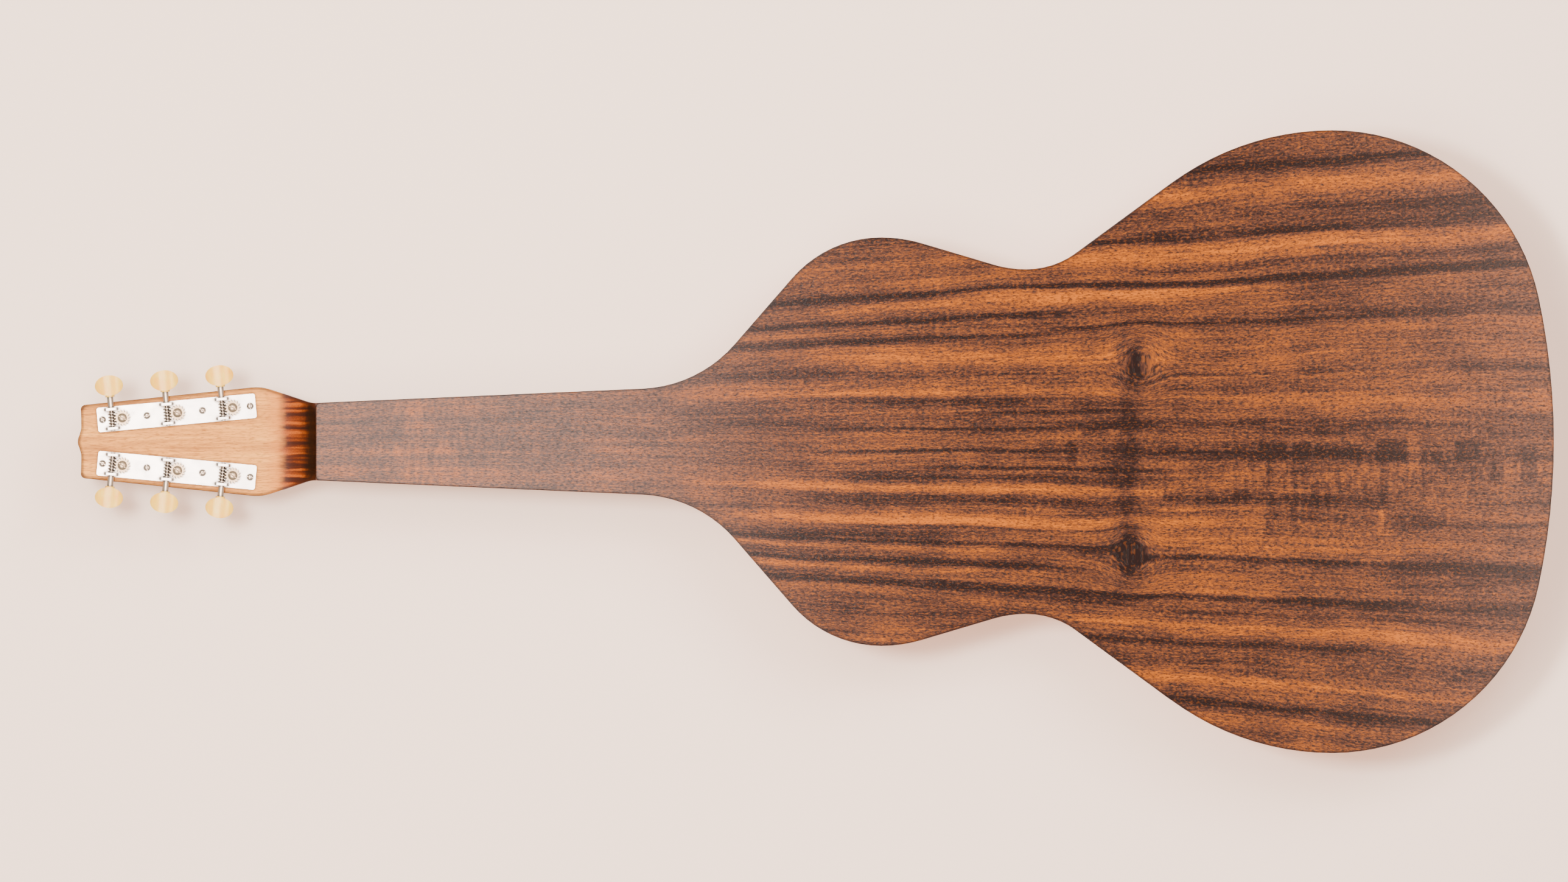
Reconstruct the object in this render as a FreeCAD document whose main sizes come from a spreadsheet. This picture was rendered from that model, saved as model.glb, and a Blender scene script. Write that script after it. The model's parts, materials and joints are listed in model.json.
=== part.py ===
import FreeCAD, Part
import math
import os
from FreeCAD import Placement, Rotation
from FreeCAD import Vector as V

# Hollow-neck acoustic lap steel guitar, millimetres.
# +Z out of the soundboard, head towards -X, tail towards +X, bass side -Y, flat back on z = 0.

SIZES = {
    # whole instrument
    "overall_length": 936.0, "body_length": 783.3, "depth_at_nut": 40.0, "depth_at_tail": 75.0,
    "back_thickness": 2.5, "top_thickness": 2.8, "side_thickness": 2.2, "edge_round": 0.6,
    # outline: half widths, distances from the tail, arc radii
    "lower_half": 197.0, "lower_station": 140.2, "lower_rear_r": 133.5, "lower_front_r": 171.5,
    "waist_half": 109.0, "waist_station": 334.0, "waist_rear_r": 54.0, "waist_front_r": 72.0,
    "upper_half": 129.2, "upper_station": 425.5, "upper_rear_r": 90.0, "upper_front_r": 74.5,
    "shoulder_r": 82.0, "shoulder_angle": 49.0, "neck_half": 24.5, "neck_taper": 0.0435,
    "neck_corner_r": 2.5,
    # headstock
    "head_tilt": 4.5, "head_thickness": 13.0, "veneer_thickness": 1.5, "cove_run": 22.4,
    "cove_height": 23.0, "head_edge_slope": 0.105, "head_width_u": 40.0, "head_width": 34.6,
    "shoulder_u": 20.0, "shoulder_half": 29.8, "shoulder_slope": 0.335, "cheek_r": 30.0,
    "throat_r": 25.0, "head_end_u": 150.2, "head_tip_rise": 1.8, "tip_half": 7.0,
    "head_corner_r": 3.0, "head_edge_round": 0.9,
    # inside
    "neck_block_length": 60.0, "tail_block_length": 22.0, "tail_block_half": 55.0,
    "lining_width": 5.0, "lining_height": 10.0, "brace_width": 7.0, "brace_height": 11.0,
    "strip_half": 10.0, "strip_thickness": 2.0,
    # playing surface, measured along the soundboard from the nut
    "scale_length": 635.0, "board_length": 428.0, "board_thickness": 2.0, "board_half_nut": 24.0,
    "board_half_end": 30.0, "fret_width": 0.6, "inlay_depth": 1.0, "dot_r": 3.0,
    "nut_width": 5.0, "nut_height": 10.0, "nut_spacing": 8.4, "bridge_spacing": 11.0,
    "hole_station": 470.0, "hole_r": 40.0, "rosette_inner_r": 43.0, "rosette_outer_r": 48.0,
    "bridge_half_span": 79.0, "bridge_core_half": 40.0, "bridge_length": 34.0,
    "bridge_height": 9.0, "wing_height": 3.0, "saddle_width": 3.0, "saddle_half": 36.0,
    "saddle_top": 14.0, "saddle_depth": 5.0, "pin_setback": 13.0, "pin_hole_r": 2.9,
    "pin_shank_r": 1.95, "pin_head_r": 3.7, "plate_under_half": 60.0,
    # tuning machines, in the plane of the back of the head
    "strip_length": 100.6, "strip_width": 15.6, "strip_gauge": 1.2, "strip_corner_r": 1.5,
    "strip_angle": 5.3, "gear_u": 89.0, "gear_v": 18.3, "gear_step": 35.05, "gear_from_end": 50.8,
    "worm_axis_drop": 4.5, "gear_pitch_r": 4.6, "gear_tip_r": 5.2, "gear_root_r": 3.95,
    "gear_face": 2.6, "gear_teeth": 15, "gear_screw_r": 2.78, "worm_pitch_r": 1.9,
    "worm_tip_r": 2.45, "worm_root_r": 1.2, "worm_turns": 5, "worm_core_half": 5.2,
    "lug_offset": 6.1, "lug_gauge": 1.6, "lug_width": 9.0, "lug_reach": 2.9, "shaft_r": 1.95,
    "journal_r": 1.4, "running_gap": 0.05, "shaft_end": 14.9, "tang_r": 1.3, "tang_end": 22.0,
    "button_centre": 21.1, "button_half_width": 8.9, "button_half_length": 6.5,
    "button_half_depth": 3.5, "button_neck_r": 2.9, "post_r": 3.0, "post_waist_r": 2.2,
    "post_rise": 11.0, "post_hole_rise": 6.0, "post_hole_r": 0.9, "post_bore_r": 4.0,
    "flange_r": 5.6, "flange_height": 1.6, "sleeve_length": 6.0, "screw_head_r": 2.05,
    "screw_head_height": 1.1, "screw_shank_r": 1.1, "screw_shank_length": 8.0,
    "slot_width": 0.6, "slot_depth": 0.5,
}
SCREW_FROM_END = (3.2, 31.4, 66.7, 97.0)
STRING_R = {1: 0.20, 2: 0.23, 3: 0.33, 4: 0.45, 5: 0.56, 6: 0.71}
FRETS = 19
DOTS = ((5, 0), (7, 0), (9, 0), (12, -10), (12, 10), (15, 0), (17, 0))

doc = FreeCAD.newDocument("hollow_neck_steel")
sheet = doc.addObject("Spreadsheet::Sheet", "dims")
for row, (alias, value) in enumerate(SIZES.items(), 1):
    sheet.set("A%d" % row, alias)
    sheet.set("B%d" % row, str(value))
    sheet.setAlias("B%d" % row, alias)
doc.recompute()


def size(alias):
    return float(sheet.get(alias))


X_TAIL = size("overall_length") / 2
X_NUT = X_TAIL - size("body_length")
TOP_SLOPE = math.degrees(math.atan((size("depth_at_tail") - size("depth_at_nut"))
                                   / size("body_length")))
TILT = math.radians(size("head_tilt"))
HEAD_Z = size("cove_height") + size("cove_run") * math.tan(TILT)
TOP = Placement(V(X_NUT, 0, size("depth_at_nut")), Rotation(V(0, 1, 0), -TOP_SLOPE))
HEAD = Placement(V(X_NUT, 0, HEAD_Z), Rotation(V(0, 1, 0), -size("head_tilt")))
nodes = []


# ---------------------------------------------------------------- object helpers
def add(kind, name, place=None, **exprs):
    """A document object whose named properties are bound to spreadsheet expressions."""
    obj = doc.addObject(kind, name)
    for prop, expr in exprs.items():
        obj.setExpression(prop, expr)
    if place is not None:
        obj.Placement = place
    return obj


def node(obj, label):
    """Mark a finished object as one exported sub-part."""
    obj.Label = label
    nodes.append(obj)
    return obj


def sketch(name, edges, place=None):
    sk = doc.addObject("Sketcher::SketchObject", name)
    sk.addGeometry(edges, False)
    if place is not None:
        sk.Placement = place
    return sk


def extrude(name, edges, length, place=None, both=False):
    """Solid extrusion of a closed sketch; length is a spreadsheet expression."""
    ex = doc.addObject("Part::Extrusion", name)
    ex.Base = sketch(name + "_sketch", edges, place)
    ex.DirMode = "Normal"
    ex.Solid = True
    ex.Symmetric = both
    ex.setExpression("LengthFwd", length)
    return ex


def revolve(name, edges, place=None):
    rv = doc.addObject("Part::Revolution", name)
    rv.Source = sketch(name + "_sketch", edges, Placement(V(), Rotation(V(1, 0, 0), 90)))
    rv.Axis = V(0, 0, 1)
    rv.Angle = 360
    rv.Solid = True
    if place is not None:
        rv.Placement = place
    return rv


def cut(name, base, tool):
    ob = doc.addObject("Part::Cut", name)
    ob.Base, ob.Tool = base, tool
    return ob


def common(name, *shapes):
    ob = doc.addObject("Part::MultiCommon", name)
    ob.Shapes = list(shapes)
    return ob


def fuse(name, *shapes):
    ob = doc.addObject("Part::MultiFuse", name)
    ob.Shapes = list(shapes)
    ob.Refine = True
    return ob


def group(name, items, place=None):
    ob = doc.addObject("Part::Compound", name)
    ob.Links = list(items)
    if place is not None:
        ob.Placement = place
    return ob


def rounded(name, base, radius, pick):
    """Round the edges of base that pick(edge) accepts."""
    doc.recompute()
    found = [i for i, edge in enumerate(base.Shape.Edges, 1) if pick(edge)]
    ob = doc.addObject("Part::Fillet", name)
    ob.Base = base
    ob.Edges = [(i, radius, radius) for i in found]
    doc.recompute()
    return ob


def box(name, place, **exprs):
    return add("Part::Box", name, place, **exprs)


def cylinder(name, place, radius, height):
    return add("Part::Cylinder", name, place, Radius=radius, Height=height)


def closed(points):
    """Straight-sided closed loop."""
    pts = [V(p[0], p[1], 0) for p in points]
    return [Part.LineSegment(a, b) for a, b in zip(pts, pts[1:] + pts[:1])]


# ---------------------------------------------------------------- body outline
def tangent_normal(inner, r_inner, outer, r_outer):
    """Normal of the line that touches a convex arc and the hollow arc beside it."""
    gap = outer - inner
    turn = math.acos((r_inner + r_outer) / gap.Length)
    base = math.atan2(gap.y, gap.x)
    ang = min((base - turn, base + turn), key=lambda a: abs(a - math.pi / 2))
    return V(math.cos(ang), math.sin(ang), 0)


def outline_arcs():
    """Tangent arcs of the +Y half, tail to neck: (centre, signed radius, normals)."""
    up = V(0, 1, 0)
    station = {k: X_TAIL - size(k + "_station") for k in ("lower", "waist", "upper")}
    lower_r, lower_f = size("lower_rear_r"), size("lower_front_r")
    waist_r, waist_f = size("waist_rear_r"), size("waist_front_r")
    upper_r, upper_f = size("upper_rear_r"), size("upper_front_r")
    c_lr = V(station["lower"], size("lower_half") - lower_r, 0)
    c_lf = V(station["lower"], size("lower_half") - lower_f, 0)
    c_wr = V(station["waist"], size("waist_half") + waist_r, 0)
    c_wf = V(station["waist"], size("waist_half") + waist_f, 0)
    c_ur = V(station["upper"], size("upper_half") - upper_r, 0)
    c_uf = V(station["upper"], size("upper_half") - upper_f, 0)
    far = size("lower_station")
    tail_r = (far ** 2 + c_lr.y ** 2 - lower_r ** 2) / (2 * (far - lower_r))
    c_tail = V(X_TAIL - tail_r, 0, 0)
    n_tail = (c_lr - c_tail).normalize()
    n_low = tangent_normal(c_lf, lower_f, c_wr, waist_r)
    n_up = tangent_normal(c_ur, upper_r, c_wf, waist_f)
    slope = math.radians(size("shoulder_angle"))
    n_sh = V(-math.sin(slope), math.cos(slope), 0)
    n_neck = V(-size("neck_taper"), 1, 0).normalize()
    run = V(-math.cos(slope), -math.sin(slope), 0)
    start = c_uf + n_sh * (upper_f + size("shoulder_r"))
    level = n_neck.dot(V(X_NUT, size("neck_half"), 0)) + size("shoulder_r")
    c_sh = start + run * ((level - n_neck.dot(start)) / n_neck.dot(run))
    return [(c_tail, tail_r, V(1, 0, 0), n_tail), (c_lr, lower_r, n_tail, up),
            (c_lf, lower_f, up, n_low), (c_wr, -waist_r, n_low, up),
            (c_wf, -waist_f, up, n_up), (c_ur, upper_r, n_up, up),
            (c_uf, upper_f, up, n_sh), (c_sh, -size("shoulder_r"), n_sh, n_neck)]


ARCS = outline_arcs()


def half_edges(inset, end_x):
    """Edges from the tail centre to the neck end at end_x, on the +Y side."""
    edges, last = [], None
    for centre, r, n0, n1 in ARCS:
        reach = r - inset
        ends = [centre + n * reach for n in (n0, (n0 + n1).normalize(), n1)]
        if last is not None and (ends[0] - last).Length > 1e-6:
            edges.append(Part.LineSegment(last, ends[0]))
        edges.append(Part.Arc(*ends))
        last = ends[2]
    rise = size("neck_taper")
    end = V(end_x, last.y + rise * (end_x - last.x), 0)
    edges.append(Part.LineSegment(last, end))
    return edges


def mirrored(edges):
    """The same edges on the other side of the centre line."""
    flipped = []
    for e in edges:
        mid = e.value((e.FirstParameter + e.LastParameter) / 2)
        a, m, b = [V(p.x, -p.y, 0) for p in (e.StartPoint, mid, e.EndPoint)]
        straight = isinstance(e, Part.LineSegment)
        flipped.append(Part.LineSegment(a, b) if straight else Part.Arc(a, m, b))
    return flipped


def full_edges(inset, end_x):
    half = half_edges(inset, end_x)
    end = half[-1].EndPoint
    return half + mirrored(half) + [Part.LineSegment(end, V(end.x, -end.y, 0))]


def plate_half(corner_r):
    """Half plate on +Y: outline, rounded neck corner, seam on the centre line."""
    half = half_edges(0, X_NUT)
    neck = half.pop()
    end, run = neck.EndPoint, (neck.StartPoint - neck.EndPoint).normalize()
    a, b = end + run * corner_r, end + V(0, -corner_r, 0)
    hub = V(end.x + corner_r, end.y - corner_r, 0)
    mid = hub + (end - hub).normalize() * corner_r
    return half + [Part.LineSegment(neck.StartPoint, a), Part.Arc(a, mid, b),
                   Part.LineSegment(b, V(X_NUT, 0, 0)),
                   Part.LineSegment(V(X_NUT, 0, 0), half[0].StartPoint)]


def rim_half(inset, width, end_x):
    """A strip of constant width that follows the outline on +Y."""
    outer, inner = half_edges(inset, end_x), half_edges(inset + width, end_x)
    return outer + inner + [Part.LineSegment(outer[-1].EndPoint, inner[-1].EndPoint),
                            Part.LineSegment(outer[0].StartPoint, inner[0].StartPoint)]


def sided(edges, side):
    return edges if side > 0 else mirrored(edges)


# ---------------------------------------------------------------- shared blanks
def top_z(x, below=0.0):
    """Height of the soundboard's outer face at x, less a distance below it."""
    rise = math.tan(math.radians(TOP_SLOPE))
    return size("depth_at_nut") + rise * (x - X_NUT) - below / math.cos(
        math.radians(TOP_SLOPE))


def side_profile(name, points):
    """Prism across the instrument from a side view (x, z)."""
    place = Placement(V(), Rotation(V(1, 0, 0), 90))
    return extrude(name, closed(points), "2.2 * dims.lower_half", place, both=True)


def under_board(name, x0, x1, z0, drop=0.0):
    """Everything between z0 and the soundboard's inner face, x0 to x1."""
    gap = size("top_thickness") + drop
    return side_profile(name, [(x0, z0), (x1, z0), (x1, top_z(x1, gap)), (x0, top_z(x0, gap))])


def board_slab(name, x0, x1, near, far):
    """Slab parallel to the soundboard, from near to far below its outer face."""
    return side_profile(name, [(x0, top_z(x0, near)), (x1, top_z(x1, near)),
                               (x1, top_z(x1, far)), (x0, top_z(x0, far))])


Z_BACK = size("back_thickness")
RIM = size("side_thickness")
LINED = RIM + size("lining_width")
X_BLOCK = X_NUT + size("neck_block_length")
X_TAIL_BLOCK = X_TAIL - RIM - size("tail_block_length")
room = under_board("room", X_NUT - 1, X_TAIL + 1, Z_BACK)


# ---------------------------------------------------------------- back, sides, soundboard
def on_back_edge(edge):
    """Outer edge of the back's lower face, without the centre seam."""
    low = max(abs(v.Z) for v in edge.Vertexes) < 1e-6
    seam = max(abs(v.Y) for v in edge.Vertexes) < 1e-6
    return low and not seam


for label, side in (("back_half_bass", -1), ("back_half_treble", 1)):
    blank = extrude(label + "_blank", sided(plate_half(size("neck_corner_r")), side),
                    "dims.back_thickness")
    node(rounded(label, blank, size("edge_round"), on_back_edge), label)

for label, side in (("side_bass", -1), ("side_treble", 1)):
    strip = extrude(label + "_strip", sided(rim_half(0, RIM, X_NUT), side),
                    "dims.depth_at_tail + 10", Placement(V(0, 0, Z_BACK), Rotation()))
    node(common(label, strip, room), label)

sound_cut = cylinder("soundhole_cutter", TOP * Placement(
    V(size("hole_station"), 0, -10), Rotation()), "dims.hole_r", "20")
ring_out = cylinder("ring_outer", TOP * Placement(
    V(size("hole_station"), 0, -0.8), Rotation()), "dims.rosette_outer_r", "0.8")
ring_in = cylinder("ring_inner", TOP * Placement(
    V(size("hole_station"), 0, -0.8), Rotation()), "dims.rosette_inner_r", "0.8")
node(cut("rosette", ring_out, ring_in), "soundhole_rosette")

top_prism = extrude("top_prism", full_edges(0, X_NUT), "dims.depth_at_tail + 20")
top_slab = board_slab("top_slab", X_NUT - 5, X_TAIL + 5, 0, size("top_thickness"))
top_plain = common("top_plain", top_prism, top_slab)


# ---------------------------------------------------------------- headstock and neck block
def fillet_corner(a, corner, b, r):
    """Arc of radius r that rounds the corner between a-corner-b; returns its three points."""
    d0, d1 = (a - corner).normalize(), (b - corner).normalize()
    half = d0.getAngle(d1) / 2
    reach = r / math.tan(half)
    hub = corner + (d0 + d1).normalize() * (r / math.sin(half))
    mid = hub + (corner - hub).normalize() * r
    return corner + d0 * reach, mid, corner + d1 * reach


def chain(points, radii):
    """Open chain of lines with each inner corner rounded."""
    edges, last = [], points[0]
    for i, r in enumerate(radii, 1):
        if r:
            a, mid, b = fillet_corner(points[i - 1], points[i], points[i + 1], r)
            edges += [Part.LineSegment(last, a), Part.Arc(a, mid, b)]
            last = b
        else:
            edges.append(Part.LineSegment(last, points[i]))
            last = points[i]
    edges.append(Part.LineSegment(last, points[-1]))
    return edges


def head_half():
    """Head outline on +Y in the head's own plane (x = -u), neck to tip."""
    def edge_at(u):
        return size("head_width") - size("head_edge_slope") * (u - size("head_width_u"))

    def flank_at(u):
        return size("shoulder_half") + size("shoulder_slope") * (u - size("shoulder_u"))

    neck = size("neck_half")
    cheek_u = ((size("head_width") + size("head_edge_slope") * size("head_width_u")
                - flank_at(0)) / (size("head_edge_slope") + size("shoulder_slope")))
    throat_u = (neck - flank_at(0)) / size("shoulder_slope")
    end_u, tip = size("head_end_u"), size("tip_half")
    points = [V(0, neck, 0), V(-throat_u, neck, 0), V(-cheek_u, edge_at(cheek_u), 0),
              V(-end_u, edge_at(end_u), 0), V(-end_u + 0.5, tip + 1.5, 0),
              V(-end_u - size("head_tip_rise") * 0.45, tip * 0.55, 0)]
    edges = chain(points, (size("throat_r") * 0.9, size("cheek_r"), size("head_corner_r"), 12))
    tip_start = points[-1]
    nose = V(-end_u - size("head_tip_rise"), 0, 0)
    return edges, tip_start, nose


def head_edges():
    half, start, nose = head_half()
    tip = Part.Arc(start, nose, V(start.x, -start.y, 0))
    return half + mirrored(half) + [tip, Part.LineSegment(
        half[0].StartPoint, V(half[0].StartPoint.x, -half[0].StartPoint.y, 0))]


head_plate = extrude("head_plate", head_edges(), "dims.head_thickness", HEAD)


def block_profile():
    """Side view of the cove and of the block inside the neck (x, z)."""
    run, rise = size("cove_run"), size("cove_height")
    x0 = X_NUT - run
    front = HEAD_Z + size("head_thickness") / math.cos(TILT)
    start, end = V(x0, rise, 0), V(X_NUT, Z_BACK, 0)
    chord = end - start
    bow = V(-chord.y, chord.x, 0).normalize() * (chord.Length * 0.205)
    cove = Part.Arc(start, start + chord * 0.5 + bow, end)
    under = size("top_thickness")
    corners = [end, V(X_BLOCK, Z_BACK, 0), V(X_BLOCK, top_z(X_BLOCK, under), 0),
               V(X_NUT, top_z(X_NUT, under), 0), V(X_NUT, front, 0),
               V(x0, front - run * math.tan(TILT), 0), start]
    return [cove] + [Part.LineSegment(a, b) for a, b in zip(corners, corners[1:])]


def block_plan():
    """Plan of the cove and neck block: head outline outside, between the sides inside."""
    half, _, _ = head_half()
    outside = [Part.LineSegment(e.StartPoint, e.EndPoint) if isinstance(e, Part.LineSegment)
               else e for e in half[:3]]
    last = outside[-1].EndPoint
    shift = V(X_NUT, 0, 0)
    moved = []
    for e in outside:
        mid = e.value((e.FirstParameter + e.LastParameter) / 2)
        a, m, b = [p + shift for p in (e.StartPoint, mid, e.EndPoint)]
        line = isinstance(e, Part.LineSegment)
        moved.append(Part.LineSegment(a, b) if line else Part.Arc(a, m, b))
    inner = size("neck_half") - RIM
    wide = inner + size("neck_taper") * size("neck_block_length")
    start = V(X_NUT, size("neck_half"), 0)
    half_loop = moved + [Part.LineSegment(start, V(X_NUT, inner, 0)),
                         Part.LineSegment(V(X_NUT, inner, 0), V(X_BLOCK, wide, 0))]
    tip = last + shift
    return half_loop + mirrored(half_loop) + [
        Part.LineSegment(tip, V(tip.x, -tip.y, 0)),
        Part.LineSegment(V(X_BLOCK, wide, 0), V(X_BLOCK, -wide, 0))]


block_side = extrude("block_side", block_profile(), "2 * dims.head_width + 20",
                     Placement(V(), Rotation(V(1, 0, 0), 90)), both=True)
block_top = extrude("block_plan", block_plan(), "dims.depth_at_tail")
neck_block = common("neck_block", block_side, block_top)


def on_head_rim(edge):
    """Outline edges of the head's back face, except the one across the neck."""
    inv = HEAD.inverse()
    pts = [inv.multVec(edge.valueAt(p)) for p in (edge.FirstParameter, edge.LastParameter)]
    flat = all(abs(p.z) < 1e-4 for p in pts)
    return flat and not all(abs(p.x) < 1e-4 for p in pts)


head_soft = rounded("head_soft", head_plate, size("head_edge_round"), on_head_rim)
head_rough = fuse("head_rough", head_soft, neck_block)


# ---------------------------------------------------------------- tuning machine positions
def strip_frame(side):
    """Axes of one tuner strip in the head plane: along (to the tail) and outwards."""
    a = math.radians(size("strip_angle"))
    along = V(math.cos(a), side * math.sin(a), 0)
    out = V(-math.sin(a), side * math.cos(a), 0)
    return V(-size("gear_u"), side * size("gear_v"), 0), along, out


def strip_place(side, along_mm, out_mm, z=0.0, axes="plate"):
    """Placement on a strip; axes 'plate' keeps z up, 'worm' lays z along the worm."""
    origin, along, out = strip_frame(side)
    pos = origin + along * along_mm + out * out_mm + V(0, 0, z)
    if axes == "worm":
        rot = Rotation(along, out.cross(along), out, "ZXY")
    else:
        rot = Rotation(along, V(0, 0, 1).cross(along), V(0, 0, 1), "ZXY")
    return HEAD * Placement(pos, rot)


# strings 1-3 run to the treble strip, 6-4 to the bass strip; 1 and 6 nearest the nut
TUNERS = {1: (1, 1), 2: (1, 0), 3: (1, -1), 4: (-1, -1), 5: (-1, 0), 6: (-1, 1)}
LAYERS = size("head_thickness") + size("veneer_thickness")


def gear_place(n, z=0.0):
    side, step = TUNERS[n]
    return strip_place(side, step * size("gear_step"), 0, z)


def worm_place(n, out_mm=0.0):
    side, step = TUNERS[n]
    mesh = size("gear_pitch_r") + size("worm_pitch_r")
    return strip_place(side, step * size("gear_step") - mesh, out_mm,
                       -size("worm_axis_drop"), "worm")


def screw_places(z):
    for side in (1, -1):
        for from_end in SCREW_FROM_END:
            yield strip_place(side, from_end - size("gear_from_end"), 0, z)


post_bores = group("post_bores", [
    cylinder("post_bore_%d" % n, gear_place(n, -5), "dims.post_bore_r",
             "dims.head_thickness + dims.veneer_thickness + 10") for n in TUNERS])
screw_bores = group("screw_bores", [
    cylinder("screw_bore_%d" % i, p, "dims.screw_shank_r", "dims.screw_shank_length")
    for i, p in enumerate(screw_places(0), 1)])


node(cut("head_drilled", head_rough, group("head_holes", [post_bores, screw_bores])),
     "headstock_and_neck_block")

veneer_lift = HEAD * Placement(V(0, 0, size("head_thickness")), Rotation())
veneer_blank = extrude("veneer_blank", head_edges(), "dims.veneer_thickness", veneer_lift)
nut_gap = box("nut_gap", TOP * Placement(V(-size("nut_width"), -60, -8), Rotation()),
              Length="dims.nut_width + 20", Width="120", Height="20")
node(cut("veneer_drilled", veneer_blank, group("veneer_holes", [post_bores, nut_gap])),
     "head_veneer")


# ---------------------------------------------------------------- inside the body
def placed_box(name, place, dx, dy, dz):
    """Box centred on its own x and y, standing up from its placement."""
    lift = Placement(V(-dx[1] / 2, -dy[1] / 2, 0), Rotation())
    return box(name, place * lift, Length=dx[0], Width=dy[0], Height=dz)


def amount(value):
    return "%.4f" % value, value


inner_room = extrude("inner_room", full_edges(LINED + 0.3, X_NUT), "dims.depth_at_tail + 20")
shell_room = extrude("shell_room", full_edges(RIM, X_NUT), "dims.depth_at_tail + 20")
tail_cut = side_profile("tail_cut", [
    (X_TAIL_BLOCK, Z_BACK), (X_TAIL, Z_BACK), (X_TAIL, top_z(X_TAIL, size("top_thickness"))),
    (X_TAIL_BLOCK, top_z(X_TAIL_BLOCK, size("top_thickness")))])
tail_box = placed_box("tail_box", Placement(V(X_TAIL - 30, 0, 0), Rotation()),
                      amount(80), ("2 * dims.tail_block_half", 2 * size("tail_block_half")),
                      "dims.depth_at_tail + 20")
node(common("tail_block_solid", shell_room, tail_cut, tail_box), "tail_block")


def lining_pair(label, zone):
    """Bass and treble linings, kept clear of the two end blocks."""
    parts = []
    for side in (-1, 1):
        rim = extrude("%s_%s" % (label, "bt"[side > 0]),
                      sided(rim_half(RIM, size("lining_width"), X_NUT), side),
                      "dims.depth_at_tail + 20")
        parts.append(common("%s_cut_%s" % (label, "bt"[side > 0]), rim, zone))
    return group(label + "_pair", parts)


LINE = size("lining_height")
UNDER = size("top_thickness")
lining_end = X_TAIL - 16
tail_keepout = placed_box("tail_keepout", Placement(V(X_TAIL - 30, 0, 0), Rotation()),
                          amount(80), amount(2 * size("tail_block_half") + 0.4), "120")
top_zone = cut("top_zone", board_slab("top_lining_zone", X_BLOCK + 0.3, X_TAIL, UNDER,
                                      UNDER + LINE), tail_keepout)
back_zone = cut("back_zone", side_profile("back_lining_zone", [
    (X_BLOCK + 0.3, Z_BACK), (X_TAIL, Z_BACK), (X_TAIL, Z_BACK + LINE),
    (X_BLOCK + 0.3, Z_BACK + LINE)]), tail_keepout)
node(lining_pair("top_lining", top_zone), "top_linings")
node(lining_pair("back_lining", back_zone), "back_linings")


def board_bar(name, x, y, turn, length, width=None, height=None):
    """Brace glued under the soundboard, centred at (x, y) and turned in its plane."""
    width = width or size("brace_width")
    height = height or size("brace_height")
    place = TOP * Placement(V(x, y, -UNDER - height), Rotation(V(0, 0, 1), turn))
    return placed_box(name, place, amount(width), amount(length), amount(height)[0])


X_CROSS = 545.0
cross = fuse("cross", board_bar("cross_a", X_CROSS, 0, 48, 420),
             board_bar("cross_b", X_CROSS, 0, -48, 420))
node(common("cross_trimmed", cross, inner_room), "x_brace")
top_bars = [board_bar("bar_%d" % i, x, 0, 0, 420) for i, x in enumerate((300, 405, 742), 1)]
node(group("top_bars", [common("bar_trim_%d" % i, b, inner_room)
                        for i, b in enumerate(top_bars, 1)]), "top_cross_braces")

strip_z = "dims.strip_thickness"
seam_len = X_TAIL_BLOCK - X_BLOCK - 0.6
seam = placed_box("seam", Placement(V((X_BLOCK + X_TAIL_BLOCK) / 2, 0, Z_BACK), Rotation()),
                  amount(seam_len), ("2 * dims.strip_half", 2 * size("strip_half")), strip_z)
node(seam, "back_seam_strip")
back_bars = []
for i, station in enumerate((560, 440, 330, 225, 105), 1):
    bar = placed_box("back_bar_%d" % i, Placement(V(X_TAIL - station, 0, Z_BACK), Rotation()),
                     ("dims.brace_width", size("brace_width")), amount(420),
                     "dims.brace_height")
    back_bars.append(cut("back_bar_notched_%d" % i,
                         common("back_bar_trim_%d" % i, bar, inner_room), seam))
node(group("back_bars", back_bars), "back_braces")

# ---------------------------------------------------------------- fingerboard
BOARD_T = size("board_thickness")
board_loop = closed([(0, -size("board_half_nut")), (size("board_length"), -size("board_half_end")),
                     (size("board_length"), size("board_half_end")), (0, size("board_half_nut"))])
board_blank = extrude("board_blank", board_loop, "dims.board_thickness", TOP)
fret_bars = group("fret_bars", [
    placed_box("fret_bar_%d" % n, TOP * Placement(
        V(size("scale_length") * (1 - 2 ** (-n / 12)), 0, BOARD_T - size("inlay_depth")),
        Rotation()), ("dims.fret_width", size("fret_width")), amount(90), "dims.inlay_depth")
    for n in range(1, FRETS + 1)])


def between_frets(n):
    reach = [size("scale_length") * (1 - 2 ** (-k / 12)) for k in (n - 1, n)]
    return sum(reach) / 2


dot_pegs = group("dot_pegs", [
    cylinder("dot_%d" % i, TOP * Placement(V(between_frets(n), y, BOARD_T - size("inlay_depth")),
                                           Rotation()), "dims.dot_r", "dims.inlay_depth")
    for i, (n, y) in enumerate(DOTS, 1)])
node(dot_pegs, "position_dots")
node(common("frets_trimmed", fret_bars, board_blank), "fret_lines")
node(cut("board_inlaid", board_blank, group("board_slots", [fret_bars, dot_pegs])),
     "fingerboard")

# ---------------------------------------------------------------- strings
SADDLE_X = size("scale_length")
PIN_X = SADDLE_X + size("pin_setback")
PLATE_LOW = -UNDER - 2.5
NUT_X = -1.0


def bent_wire(points, radii):
    return Part.Wire([Part.Edge(e) for e in chain(points, radii)])


def sweep_round(points, radii, r):
    """Round rod of radius r along a chain of points with rounded corners."""
    path = bent_wire(points, radii)
    ring = Part.Wire(Part.makeCircle(r, points[0], points[1] - points[0]))
    return path.makePipeShell([ring], True, False)


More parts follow.
